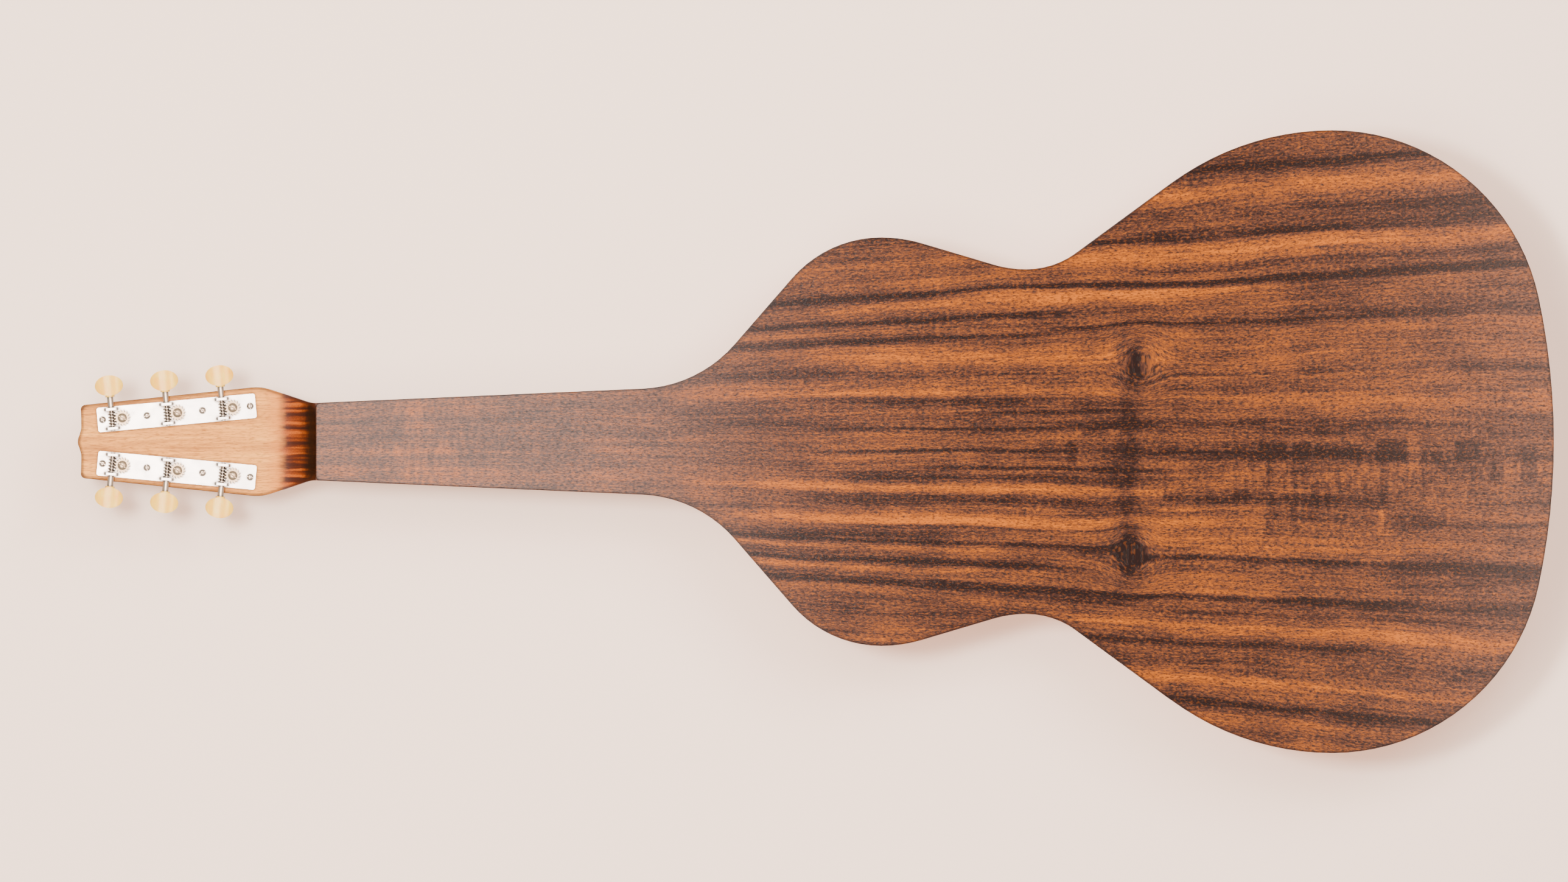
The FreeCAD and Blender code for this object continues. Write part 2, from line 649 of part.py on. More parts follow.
def string_points(n):
    """Ball end, bridge hole, saddle, nut and post, in the row frame."""
    r = STRING_R[n]
    y_bridge = (3.5 - n) * size("bridge_spacing")
    y_nut = (3.5 - n) * size("nut_spacing")
    x_hole = PIN_X - size("pin_hole_r") + r + 0.1
    near = [V(x_hole, y_bridge, PLATE_LOW - 0.4), V(x_hole, y_bridge, size("bridge_height") + 0.5),
            V(SADDLE_X, y_bridge, size("saddle_top") + r + 0.2),
            V(NUT_X, y_nut, size("nut_height") - 0.5 + r)]
    side, step = TUNERS[n]
    inward = size("post_waist_r") + r + 0.4
    height = LAYERS + size("post_hole_rise")
    post = strip_place(side, step * size("gear_step") + 1.0, -inward, height).Base
    return [TOP.multVec(p) for p in near] + [post]


BENDS = (2.0, 6.0, 6.0)
for n in sorted(STRING_R):
    wire = doc.addObject("Part::Feature", "wire_%d" % n)
    wire.Shape = sweep_round(string_points(n), BENDS, STRING_R[n])
    node(wire, "string_%d" % n)

balls = [cylinder("ball_%d" % n, TOP * Placement(
    V(PIN_X - size("pin_hole_r") + STRING_R[n] - 0.8, (3.5 - n) * size("bridge_spacing") - 1.5,
      PLATE_LOW - 2.6), Rotation(V(1, 0, 0), -90)), "2.0", "3.0") for n in STRING_R]
node(group("balls", balls), "string_ball_ends")

# nut, with a groove under every string
nut_profile = closed([(-size("nut_width"), -6), (0, -6), (0, size("nut_height")),
                      (-1.6, size("nut_height")), (-size("nut_width"), size("nut_height") - 1.5)])
nut_blank = extrude("nut_blank", nut_profile, "2 * dims.board_half_nut",
                    TOP * Placement(V(), Rotation(V(1, 0, 0), 90)), both=True)
grooves = []
for n in STRING_R:
    pts = string_points(n)
    before = pts[3] + (pts[2] - pts[3]).normalize() * 6
    after = pts[3] + (pts[4] - pts[3]).normalize() * 9
    tool = doc.addObject("Part::Feature", "groove_%d" % n)
    tool.Shape = sweep_round([before, pts[3], after], (6.0,), STRING_R[n] + 0.12)
    grooves.append(tool)
nut_seated = cut("nut_seated", nut_blank, group("nut_bed", [
    head_rough, top_plain, board_blank] + [o for o in nodes if o.Label.startswith("side_")]))
node(cut("nut_grooved", nut_seated, group("groove_set", grooves)), "nut")

# ---------------------------------------------------------------- bridge and saddle
SPAN, CORE = size("bridge_half_span"), size("bridge_core_half")
WING, RISE = size("wing_height"), size("bridge_height")


def bridge_front():
    """Front view of the bridge (y, z): raised core, hollowed wings."""
    left = Part.Arc(V(-SPAN, WING, 0), V(-(SPAN + CORE) / 2 - 2, WING + 1.2, 0), V(-CORE, RISE, 0))
    right = Part.Arc(V(CORE, RISE, 0), V((SPAN + CORE) / 2 + 2, WING + 1.2, 0), V(SPAN, WING, 0))
    lines = [(V(-CORE, RISE, 0), V(CORE, RISE, 0)), (V(SPAN, WING, 0), V(SPAN, 0, 0)),
             (V(SPAN, 0, 0), V(-SPAN, 0, 0)), (V(-SPAN, 0, 0), V(-SPAN, WING, 0))]
    return [left, right] + [Part.LineSegment(a, b) for a, b in lines]


def bridge_plan():
    """Plan of the bridge: straight front, scooped back, narrow rounded tips."""
    front, back = SADDLE_X - 12, SADDLE_X - 12 + size("bridge_length")
    tip = front + 16
    pts = [V(front, -SPAN + 6, 0), V(front, SPAN - 6, 0), V(front + 6, SPAN, 0),
           V(tip, SPAN, 0), V(back, CORE, 0), V(back, -CORE, 0), V(tip, -SPAN, 0),
           V(front + 6, -SPAN, 0)]
    edges = [Part.LineSegment(pts[0], pts[1]), Part.LineSegment(pts[1], pts[2]),
             Part.LineSegment(pts[2], pts[3]), Part.LineSegment(pts[4], pts[5]),
             Part.LineSegment(pts[6], pts[7]), Part.LineSegment(pts[7], pts[0])]
    for a, b in ((pts[3], pts[4]), (pts[5], pts[6])):
        edges.append(Part.Arc(a, (a + b) * 0.5 + V(-3.0, 0, 0), b))
    return edges


bridge_a = extrude("bridge_front", bridge_front(), "2 * dims.bridge_length + 20",
                   TOP * Placement(V(SADDLE_X, 0, 0), Rotation(V(0, 1, 0), V(0, 0, 1),
                                                               V(1, 0, 0), "ZXY")), both=True)
bridge_b = extrude("bridge_plan", bridge_plan(), "dims.bridge_height + 5", TOP)
bridge_solid = common("bridge_solid", bridge_a, bridge_b)
saddle_z = size("bridge_height") - size("saddle_depth")
saddle_blank = placed_box(
    "saddle_blank", TOP * Placement(V(SADDLE_X, 0, saddle_z), Rotation()),
    ("dims.saddle_width", size("saddle_width")), ("2 * dims.saddle_half",
                                                  2 * size("saddle_half")),
    "dims.saddle_top - dims.bridge_height + dims.saddle_depth")


def on_saddle_crown(edge):
    inv = TOP.inverse()
    pts = [inv.multVec(v.Point) for v in edge.Vertexes]
    return all(abs(p.z - size("saddle_top")) < 1e-4 for p in pts) and edge.Length > 10


node(rounded("saddle_round", saddle_blank, 1.3, on_saddle_crown), "saddle")
pin_holes = group("pin_holes", [
    cylinder("pin_hole_%d" % n, TOP * Placement(V(PIN_X, (3.5 - n) * size("bridge_spacing"), -20),
                                                Rotation()), "dims.pin_hole_r", "40")
    for n in STRING_R])
node(cut("bridge_drilled", bridge_solid, group("bridge_holes", [pin_holes, saddle_blank])),
     "bridge")
bridge_under = placed_box("bridge_under", TOP * Placement(V(PIN_X - 4, 0, PLATE_LOW), Rotation()),
                          amount(44), ("2 * dims.plate_under_half",
                                       2 * size("plate_under_half")), "2.5")
node(cut("bridge_under_drilled", bridge_under, pin_holes), "bridge_plate")
node(cut("top_drilled", top_plain, group("top_holes", [sound_cut, ring_out, pin_holes])),
     "soundboard")

PIN_R, KNOB_R = size("pin_shank_r"), size("pin_head_r")
pin = revolve("pin", [
    Part.LineSegment(V(0, PLATE_LOW + 0.3, 0), V(PIN_R, PLATE_LOW + 0.3, 0)),
    Part.LineSegment(V(PIN_R, PLATE_LOW + 0.3, 0), V(PIN_R, RISE + 1.2, 0)),
    Part.LineSegment(V(PIN_R, RISE + 1.2, 0), V(KNOB_R, RISE + 1.6, 0)),
    Part.Arc(V(KNOB_R, RISE + 1.6, 0), V(KNOB_R * 0.74, RISE + 4.0, 0), V(0.8, RISE + 5.0, 0)),
    Part.LineSegment(V(0.8, RISE + 5.0, 0), V(0, RISE + 5.0, 0)),
    Part.LineSegment(V(0, RISE + 5.0, 0), V(0, PLATE_LOW + 0.3, 0))])
node(group("pins", [group("pin_at_%d" % n, [pin], TOP * Placement(
    V(PIN_X + 0.9, (3.5 - n) * size("bridge_spacing"), 0), Rotation())) for n in STRING_R]),
     "bridge_pins")

# ---------------------------------------------------------------- tuner strips and brackets
GAUGE = size("strip_gauge")
DROP = size("worm_axis_drop")


def strip_loop():
    """Rounded rectangle, measured from the middle gear."""
    x0, half = -size("gear_from_end"), size("strip_width") / 2
    x1, r = x0 + size("strip_length"), size("strip_corner_r")
    pts = [V((x0 + x1) / 2, -half, 0), V(x1, -half, 0), V(x1, half, 0), V(x0, half, 0),
           V(x0, -half, 0), V((x0 + x1) / 2, -half, 0)]
    return chain(pts, (r, r, r, r))


for label, side in (("tuner_plate_bass", -1), ("tuner_plate_treble", 1)):
    here = strip_place(side, 0, 0, -GAUGE)
    blank = extrude(label + "_blank", strip_loop(), "dims.strip_gauge", here)
    holes = [cylinder("%s_post_%d" % (label, n), gear_place(n, -4),
                      "dims.post_r + dims.running_gap", "8") for n in TUNERS
             if TUNERS[n][0] == side]
    holes += [cylinder("%s_screw_%d" % (label, i), p, "dims.screw_shank_r + 0.15", "8")
              for i, p in enumerate(screw_places(-4), 1)]
    node(cut(label + "_drilled", blank, group(label + "_holes", holes)), label)


def lug(name, bore):
    """Bearing ear: a rounded tongue standing off the strip, bored for the shaft."""
    half, reach = size("lug_width") / 2, size("lug_reach")
    foot = size("worm_axis_drop") - GAUGE
    crown = 1.6
    pts = [V(0, foot, 0), V(-half, foot, 0), V(-half, -reach, 0), V(half, -reach, 0),
           V(half, foot, 0), V(0, foot, 0)]
    blank = extrude(name + "_blank", chain(pts, (0, crown, crown, 0)), "dims.lug_gauge",
                    Placement(V(0, 0, -size("lug_gauge") / 2), Rotation()))
    return cut(name, blank, cylinder(name + "_bore", Placement(V(0, 0, -4), Rotation()),
                                     bore, "8"))


outer_lug = lug("outer_lug", "dims.shaft_r + dims.running_gap")
inner_lug = lug("inner_lug", "dims.journal_r + dims.running_gap")
ears = []
for n, (side, _) in TUNERS.items():
    # the ear's own +y points to the strip, which flips between the two sides
    turn = Placement(V(), Rotation(V(0, 0, 1), 0 if side < 0 else 180))
    for lug_part, where in ((outer_lug, 1), (inner_lug, -1)):
        ears.append(group("ear_%d_%d" % (n, where), [lug_part],
                          worm_place(n, where * size("lug_offset")) * turn))
node(group("ears", ears), "worm_brackets")


def slotted_screw(name, head_r, head_h, shank_r, shank_l, angle, z_head):
    """Domed slotted head below z_head, shank above it (the screws point up into the wood)."""
    edge = head_h * 0.45
    body = revolve(name + "_turned", [
        Part.LineSegment(V(0, z_head + shank_l, 0), V(shank_r, z_head + shank_l, 0)),
        Part.LineSegment(V(shank_r, z_head + shank_l, 0), V(shank_r, z_head, 0)),
        Part.LineSegment(V(shank_r, z_head, 0), V(head_r, z_head, 0)),
        Part.LineSegment(V(head_r, z_head, 0), V(head_r, z_head - edge, 0)),
        Part.Arc(V(head_r, z_head - edge, 0), V(head_r * 0.62, z_head - head_h * 0.86, 0),
                 V(0, z_head - head_h, 0)),
        Part.LineSegment(V(0, z_head - head_h, 0), V(0, z_head + shank_l, 0))])
    place = Placement(V(0, 0, z_head - head_h - 1), Rotation(V(0, 0, 1), angle))
    slot = placed_box(name + "_slot", place, amount(2.4 * head_r), ("dims.slot_width",
                      size("slot_width")), amount(1 + size("slot_depth"))[0])
    return cut(name, body, slot)


wood_screw = slotted_screw("wood_screw", size("screw_head_r"), size("screw_head_height"),
                           size("screw_shank_r"), GAUGE + size("screw_shank_length") - 0.5,
                           0, -GAUGE)
turns = (20, 75, -35, 5, 62, -12, 40, 88)
screws = [group("screw_%d" % i, [wood_screw], p * Placement(V(), Rotation(V(0, 0, 1), a)))
          for i, (p, a) in enumerate(zip(screw_places(0), turns), 1)]
node(group("screws", screws), "tuner_screws")

bush = revolve("bush", [
    Part.LineSegment(V(size("post_r") + size("running_gap"), LAYERS - size("sleeve_length"), 0),
                     V(size("post_bore_r"), LAYERS - size("sleeve_length"), 0)),
    Part.LineSegment(V(size("post_bore_r"), LAYERS - size("sleeve_length"), 0),
                     V(size("post_bore_r"), LAYERS, 0)),
    Part.LineSegment(V(size("post_bore_r"), LAYERS, 0), V(size("flange_r"), LAYERS, 0)),
    Part.LineSegment(V(size("flange_r"), LAYERS, 0), V(size("flange_r"), LAYERS + 0.6, 0)),
    Part.Arc(V(size("flange_r"), LAYERS + 0.6, 0),
             V(size("flange_r") - 0.5, LAYERS + 1.25, 0),
             V(size("flange_r") - 1.5, LAYERS + size("flange_height"), 0)),
    Part.LineSegment(V(size("flange_r") - 1.5, LAYERS + size("flange_height"), 0),
                     V(size("post_r") + size("running_gap"), LAYERS + size("flange_height"), 0)),
    Part.LineSegment(V(size("post_r") + size("running_gap"), LAYERS + size("flange_height"), 0),
                     V(size("post_r") + size("running_gap"), LAYERS - size("sleeve_length"), 0))])
node(group("bushes", [group("bush_%d" % n, [bush], gear_place(n)) for n in TUNERS]),
     "post_bushings")


# ---------------------------------------------------------------- worm, gear, post, button
def worm_master():
    """Worm shaft about its own z axis; the thread crest faces +x at z = 0."""
    pitch = 2 * math.pi * size("gear_pitch_r") / size("gear_teeth")
    length = pitch * size("worm_turns")
    root, tip = size("worm_root_r"), size("worm_tip_r")
    helix = Part.makeHelix(pitch, length, root)
    base, crest = 0.60, 0.20
    loop = Part.makePolygon([V(root - 0.25, 0, -base - 0.08), V(tip, 0, -crest),
                             V(tip, 0, crest), V(root - 0.25, 0, base + 0.08),
                             V(root - 0.25, 0, -base - 0.08)])
    thread = Part.Wire(helix.Edges).makePipeShell([loop], True, True)
    thread.Placement = Placement(V(0, 0, -length / 2), Rotation(V(0, 0, 1), 180))
    form = doc.addObject("Part::Feature", "thread")
    form.Shape = thread
    lug_in = size("lug_offset") - size("lug_gauge") / 2
    core = cylinder("worm_core", Placement(V(0, 0, -lug_in + 0.1), Rotation()),
                    "dims.worm_root_r", amount(2 * lug_in - 0.1)[0])
    shaft = cylinder("worm_outer_shaft", Placement(V(0, 0, lug_in - 0.1), Rotation()),
                     "dims.shaft_r", amount(size("shaft_end") - lug_in + 0.1)[0])
    journal_end = size("lug_offset") + size("lug_gauge") / 2 + 0.6
    journal = cylinder("worm_journal", Placement(V(0, 0, -journal_end), Rotation()),
                       "dims.journal_r", amount(journal_end - lug_in + 0.1)[0])
    tang = cylinder("worm_tang", Placement(V(0, 0, size("shaft_end") - 0.5), Rotation()),
                    "dims.tang_r", "dims.tang_end - dims.shaft_end + 0.5")
    return fuse("worm_master", core, form, shaft, journal, tang)


def gear_master():
    """Wormwheel about z with a gap facing -x, teeth twisted to follow the worm."""
    teeth = int(size("gear_teeth"))
    face, axis_z = size("gear_face"), -size("worm_axis_drop")
    root, tip = size("gear_root_r"), size("gear_tip_r")
    pitch = 2 * math.pi / teeth
    lean = pitch * size("gear_pitch_r") / (2 * math.pi * size("worm_pitch_r")
                                           * size("gear_pitch_r"))

    def ring(z):
        pts = []
        for k in range(teeth):
            mid = math.pi + (k + 0.5) * pitch + lean * (z - axis_z)
            for r, half in ((root, 0.52 / root), (tip, 0.20 / tip)):
                pts.append((r, mid - half))
            for r, half in ((tip, 0.20 / tip), (root, 0.52 / root)):
                pts.append((r, mid + half))
        loop = [V(r * math.cos(a), r * math.sin(a), z) for r, a in pts]
        return Part.makePolygon(loop + loop[:1])

    form = doc.addObject("Part::Feature", "wheel")
    form.Shape = Part.makeLoft([ring(axis_z - face / 2), ring(axis_z + face / 2)], True, True)
    screw = slotted_screw("wheel_screw", size("gear_screw_r"), 1.4, 1.2, face / 2, 30,
                          axis_z - face / 2)
    return fuse("gear_master", form, screw)


def post_master():
    """String post from the wormwheel to the front of the head, with a cross hole."""
    r, waist = size("post_r"), size("post_waist_r")
    z0 = -size("worm_axis_drop") + size("gear_face") / 2
    hole_z = LAYERS + size("post_hole_rise")
    end = LAYERS + size("post_rise")
    pts = [V(0, z0, 0), V(r, z0, 0), V(r, hole_z - 3.0, 0), V(waist, hole_z - 1.6, 0),
           V(waist, hole_z + 1.6, 0), V(r, hole_z + 3.0, 0), V(r, end - 0.8, 0),
           V(r - 0.8, end, 0), V(0, end, 0)]
    body = revolve("post_turned", [Part.LineSegment(a, b) for a, b in zip(pts, pts[1:] + pts[:1])])
    eye = cylinder("post_eye", Placement(V(0, 5, hole_z), Rotation(V(1, 0, 0), 90)),
                   "dims.post_hole_r", "10")
    return cut("post_master", body, eye)


def ellipse_loop(a, b):
    major, minor = (V(a, 0, 0), V(0, b, 0)) if a >= b else (V(0, b, 0), V(a, 0, 0))
    return [Part.Ellipse(major, minor, V())]


def button_master():
    """Crowned oval button about the worm's z axis: x across, z along the shaft."""
    wide, long, deep = (size("button_half_width"), size("button_half_length"),
                        size("button_half_depth"))
    mid = Placement(V(0, 0, size("button_centre")), Rotation())
    lens = extrude("button_lens", ellipse_loop(wide + 0.4, deep), "2 * dims.button_half_length",
                   mid, both=True)
    plan = extrude("button_plan", ellipse_loop(wide, long), "4 * dims.button_half_depth",
                   mid * Placement(V(), Rotation(V(1, 0, 0), 90)), both=True)
    oval = common("button_oval", lens, plan)
    doc.recompute()
    soft = rounded("button_soft", oval, 0.7, lambda e: e.Length > 5)
    if not soft.Shape.isValid() or soft.Shape.isNull() or not soft.Shape.Solids:
        doc.removeObject(soft.Name)
        soft = oval
    neck = cylinder("button_neck", Placement(V(0, 0, size("shaft_end") - 1.0), Rotation()),
                    "dims.button_neck_r", "3.0")
    bore = cylinder("button_bore", Placement(V(0, 0, size("shaft_end") - 2), Rotation()),
                    "dims.tang_r", "dims.tang_end - dims.shaft_end + 2")
    seat = cylinder("button_seat", Placement(V(0, 0, size("shaft_end") - 4), Rotation()),
                    "dims.shaft_r", "4")
    return cut("button_master", fuse("button_body", soft, neck), group("button_void",
                                                                        [bore, seat]))


worm, gear, post, button = worm_master(), gear_master(), post_master(), button_master()
for n in TUNERS:
    node(group("worm_at_%d" % n, [worm], worm_place(n)), "worm_shaft_%d" % n)
    node(group("button_at_%d" % n, [button], worm_place(n)), "button_%d" % n)
    node(group("gear_at_%d" % n, [gear], gear_place(n)), "gear_wheel_%d" % n)
    node(group("post_at_%d" % n, [post], gear_place(n)), "string_post_%d" % n)

# ---------------------------------------------------------------- check and export
doc.recompute()
for obj in doc.Objects:
    bad = [s for s in obj.State if s in ("Invalid", "Error")]
    if bad:
        raise RuntimeError("%s (%s): %s" % (obj.Name, obj.Label, obj.State))
for obj in nodes:
    if obj.Shape.isNull() or not obj.Shape.isValid() or not obj.Shape.Solids:
        raise RuntimeError("bad shape in " + obj.Label)

os.makedirs("parts", exist_ok=True)
for obj in nodes:
    obj.Shape.exportStep("parts/%s.step" % obj.Label)
print("nodes written:", len(nodes))
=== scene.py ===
import json
import math

import bpy
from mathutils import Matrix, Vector


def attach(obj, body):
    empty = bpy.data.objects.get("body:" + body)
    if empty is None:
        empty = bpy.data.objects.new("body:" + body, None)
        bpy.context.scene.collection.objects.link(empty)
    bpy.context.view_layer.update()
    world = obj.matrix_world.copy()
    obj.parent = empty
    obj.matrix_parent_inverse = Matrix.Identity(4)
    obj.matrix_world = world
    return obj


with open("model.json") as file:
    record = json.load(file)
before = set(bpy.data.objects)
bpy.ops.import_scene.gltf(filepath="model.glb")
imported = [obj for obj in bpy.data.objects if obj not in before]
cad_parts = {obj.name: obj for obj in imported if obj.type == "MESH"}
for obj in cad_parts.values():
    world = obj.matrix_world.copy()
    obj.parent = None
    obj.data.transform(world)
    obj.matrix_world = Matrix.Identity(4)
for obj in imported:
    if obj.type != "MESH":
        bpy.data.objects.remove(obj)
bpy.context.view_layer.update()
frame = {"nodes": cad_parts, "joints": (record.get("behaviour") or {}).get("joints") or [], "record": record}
nodes, joints = frame["nodes"], {j["name"]: j for j in frame["joints"]}
MM = 1000.0                      # metres to millimetres inside the shaders


def srgb(r, g, b):
    """8-bit screen colour to linear."""
    def lin(c):
        c /= 255
        return c / 12.92 if c <= 0.04045 else ((c + 0.055) / 1.055) ** 2.4
    return (lin(r), lin(g), lin(b), 1.0)


# ---------------------------------------------------------------- shader building
class Sock:
    """A shader value that can be combined with ordinary arithmetic."""

    def __init__(self, graph, out):
        self.g, self.out = graph, out

    def __add__(self, o):
        return self.g.math("ADD", self, o)

    def __radd__(self, o):
        return self.g.math("ADD", o, self)

    def __sub__(self, o):
        return self.g.math("SUBTRACT", self, o)

    def __rsub__(self, o):
        return self.g.math("SUBTRACT", o, self)

    def __mul__(self, o):
        return self.g.math("MULTIPLY", self, o)

    def __rmul__(self, o):
        return self.g.math("MULTIPLY", o, self)

    def __truediv__(self, o):
        return self.g.math("DIVIDE", self, o)

    def __neg__(self):
        return self.g.math("MULTIPLY", self, -1.0)

    def abs(self):
        return self.g.math("ABSOLUTE", self)

    def sin(self):
        return self.g.math("SINE", self)

    def clamp(self):
        return self.g.math("ADD", self, 0.0, clamp=True)

    def max(self, o):
        return self.g.math("MAXIMUM", self, o)

    def min(self, o):
        return self.g.math("MINIMUM", self, o)

    def step(self, lo, hi):
        """Smooth 0 to 1 between lo and hi."""
        n = self.g.new("ShaderNodeMapRange", interpolation_type="SMOOTHSTEP")
        self.g.put(n.inputs["Value"], self)
        n.inputs["From Min"].default_value = lo
        n.inputs["From Max"].default_value = hi
        return Sock(self.g, n.outputs["Result"])


class Graph:
    def __init__(self, name):
        self.mat = bpy.data.materials.new(name)
        self.mat.use_nodes = True
        self.tree = self.mat.node_tree
        self.bsdf = self.tree.nodes["Principled BSDF"]
        coord = self.new("ShaderNodeTexCoord")
        split = self.new("ShaderNodeSeparateXYZ")
        self.tree.links.new(coord.outputs["Object"], split.inputs[0])
        self.x, self.y, self.z = (Sock(self, split.outputs[i]) * MM for i in range(3))
        facing = self.new("ShaderNodeSeparateXYZ")
        self.tree.links.new(coord.outputs["Normal"], facing.inputs[0])
        self.flat = Sock(self, facing.outputs[2]).abs()      # 1 on faces square to Z

    def new(self, kind, **props):
        n = self.tree.nodes.new(kind)
        for k, v in props.items():
            setattr(n, k, v)
        return n

    def put(self, socket, value):
        if isinstance(value, Sock):
            self.tree.links.new(value.out, socket)
        else:
            socket.default_value = value

    def math(self, op, a, b=0.0, clamp=False):
        n = self.new("ShaderNodeMath", operation=op, use_clamp=clamp)
        self.put(n.inputs[0], a)
        self.put(n.inputs[1], b)
        return Sock(self, n.outputs[0])

    def vec(self, x, y, z=0.0):
        n = self.new("ShaderNodeCombineXYZ")
        for i, v in enumerate((x, y, z)):
            self.put(n.inputs[i], v)
        return Sock(self, n.outputs[0])

    def noise(self, v, detail=2.0, rough=0.5, twist=0.0):
        n = self.new("ShaderNodeTexNoise")
        self.put(n.inputs["Vector"], v)
        for key, val in (("Scale", 1.0), ("Detail", detail), ("Roughness", rough),
                         ("Distortion", twist)):
            n.inputs[key].default_value = val
        return Sock(self, n.outputs["Fac"])

    def mix(self, fac, a, b):
        n = self.new("ShaderNodeMix", data_type="RGBA")
        self.put(n.inputs["Factor"], fac)
        self.put(n.inputs[6], a)
        self.put(n.inputs[7], b)
        return Sock(self, n.outputs[2])

    def ramp(self, fac, stops):
        n = self.new("ShaderNodeValToRGB")
        self.put(n.inputs[0], fac)
        el = n.color_ramp.elements
        while len(el) < len(stops):
            el.new(0.5)
        for e, (pos, col) in zip(el, stops):
            e.position, e.color = pos, col
        return Sock(self, n.outputs["Color"])

    def bump(self, height, depth, strength=1.0):
        """Depth in millimetres of a height that runs 0 to 1."""
        n = self.new("ShaderNodeBump")
        self.put(n.inputs["Height"], height)
        n.inputs["Distance"].default_value = depth / MM
        n.inputs["Strength"].default_value = strength
        self.tree.links.new(n.outputs[0], self.bsdf.inputs["Normal"])

    def surface(self, color, rough, metal=0.0, **fixed):
        self.put(self.bsdf.inputs["Base Color"], color)
        self.put(self.bsdf.inputs["Roughness"], rough)
        self.bsdf.inputs["Metallic"].default_value = metal
        for key, val in fixed.items():
            self.bsdf.inputs[key.replace("_", " ")].default_value = val
        return self.mat


def bell(g, x, centre, width):
    """Soft bump of height 1 at centre, about 2 x width across."""
    d = (x - centre) / width
    return g.math("EXPONENT", -(d * d))


def figured(g, along, across, seed, pore=1.0):
    """Straight-grained figured wood. Returns tone 0 dark to 1 bright, and the pore pattern."""
    warp = g.noise(g.vec(along / 190, across / 70, seed), 2.0) - 0.5
    fine = g.noise(g.vec(along / 34, across / 16, seed + 3), 2.0) - 0.5
    s = across + warp * 26 + fine * 5.0
    broad = g.noise(g.vec(along / 420, s / 17, seed + 7), 2.0, 0.55)
    bands = g.noise(g.vec(along / 260, s / 5.2, seed + 11), 3.0, 0.6)
    lines = g.noise(g.vec(along / 120, s / 1.7, seed + 17), 3.0, 0.6)
    tone = (broad - 0.5) * 1.5 + (bands - 0.5) * 1.35 + (lines - 0.5) * 0.75
    p = s + (g.noise(g.vec(along / 9, across / 5, seed + 23), 2.0) - 0.5) * 2.2
    dash = g.noise(g.vec(along / (2.3 * pore), p / (0.52 * pore), seed + 29), 2.0, 0.6)
    return tone + 0.5, dash


# ---------------------------------------------------------------- woods
HEAD_END = -315.0                # x where the back begins (mm)
KNOTS = ((204.0, -49.5, 13.0), (199.0, 71.0, 13.0))      # x, y, size (mm)
FAN = 0.00068                    # how fast the grain spreads towards the tail, per mm
TOP_FAN = 0.0004                 # the same on the soundboard

# bands and lines of the back, one list for each side of the seam: distance from the seam
# at the head end of the grain, half width, strength (dark below 0), and the run of x (mm)
BASS_GRAIN = (
    (73.3, 2.2, -0.34, -40, 70), (74.1, 0.8, -0.34, 40, 260), (68.6, 3.0, 0.28, 0, 300),
    (61.2, 0.9, -0.42, -60, 150), (61.5, 2.2, -0.14, -60, 200), (56.2, 1.8, 0.22, -60, 90),
    (51.3, 2.6, -0.24, -70, 60), (51.6, 0.8, -0.36, 10, 130), (42.2, 4.2, 0.25, 20, 210),
    (46.2, 2.4, 0.15, -90, 20), (34.5, 2.6, -0.22, -70, 20), (25.0, 2.6, 0.30, -60, 200),
    (20.0, 2.4, -0.20, 40, 130), (6.5, 0.7, -0.34, 50, 210), (14.2, 0.7, -0.34, 110, 210),
    (123.7, 1.2, -0.44, 200, 470), (125.0, 3.0, -0.14, 200, 470), (114.0, 3.5, 0.26, 190, 430),
    (104.0, 3.2, -0.16, 200, 440), (94.0, 1.4, -0.30, 190, 330), (96.5, 2.4, -0.12, 190, 470),
    (87.3, 3.6, 0.32, 140, 470), (73.8, 1.2, -0.34, 200, 430), (74.2, 2.8, -0.18, 300, 470),
    (70.3, 1.6, 0.22, 190, 300), (54.3, 0.8, -0.38, 200, 330), (56.4, 2.8, -0.22, 330, 470),
    (46.0, 5.0, 0.12, 210, 470), (31.0, 0.7, -0.22, 230, 400), (36.0, 3.0, 0.08, 220, 470),
    (8.5, 2.0, -0.26, 200, 330), (16.0, 3.0, 0.10, 320, 470), (80.5, 1.4, -0.14, 250, 470),
)
TREBLE_GRAIN = (
    (4.6, 0.8, -0.36, 40, 330), (13.0, 0.8, -0.40, 80, 220), (18.4, 2.6, -0.20, 50, 210),
    (22.8, 2.3, 0.34, -60, 210), (18.6, 2.8, 0.16, -120, -20), (28.6, 2.8, -0.20, 0, 210),
    (39.4, 3.3, 0.33, -70, 210), (42.6, 0.8, -0.38, 20, 210), (47.4, 2.8, -0.30, -80, 70),
    (50.4, 0.9, -0.42, -60, 210), (53.5, 1.2, 0.28, -30, 130), (60.3, 1.2, -0.48, -60, 140),
    (64.2, 1.8, 0.28, -60, 150), (71.3, 2.6, -0.40, -60, 210), (68.2, 1.6, 0.20, 130, 250),
    (76.0, 3.0, 0.10, -40, 60), (26.0, 2.4, -0.24, 210, 330), (31.0, 1.3, 0.20, 210, 300),
    (36.0, 3.0, 0.10, 210, 300), (46.0, 4.0, 0.16, 250, 470), (52.4, 0.8, -0.40, 200, 330),
    (52.8, 3.4, -0.22, 350, 470), (70.5, 1.1, -0.34, 200, 310), (70.8, 2.6, -0.30, 290, 470),
    (84.5, 3.6, 0.32, 170, 460), (92.0, 1.3, -0.34, 180, 340), (98.0, 3.0, -0.15, 210, 440),
    (108.8, 2.6, 0.30, 200, 430), (119.3, 1.8, -0.42, 210, 430), (62.0, 3.0, 0.08, 220, 400),
    (126.0, 3.0, 0.10, 220, 400), (77.0, 1.4, -0.14, 260, 440),
)
GRAIN_STATIONS = (-110, -30, 50, 120, 185, 245, 320, 400)     # x where each profile is exact
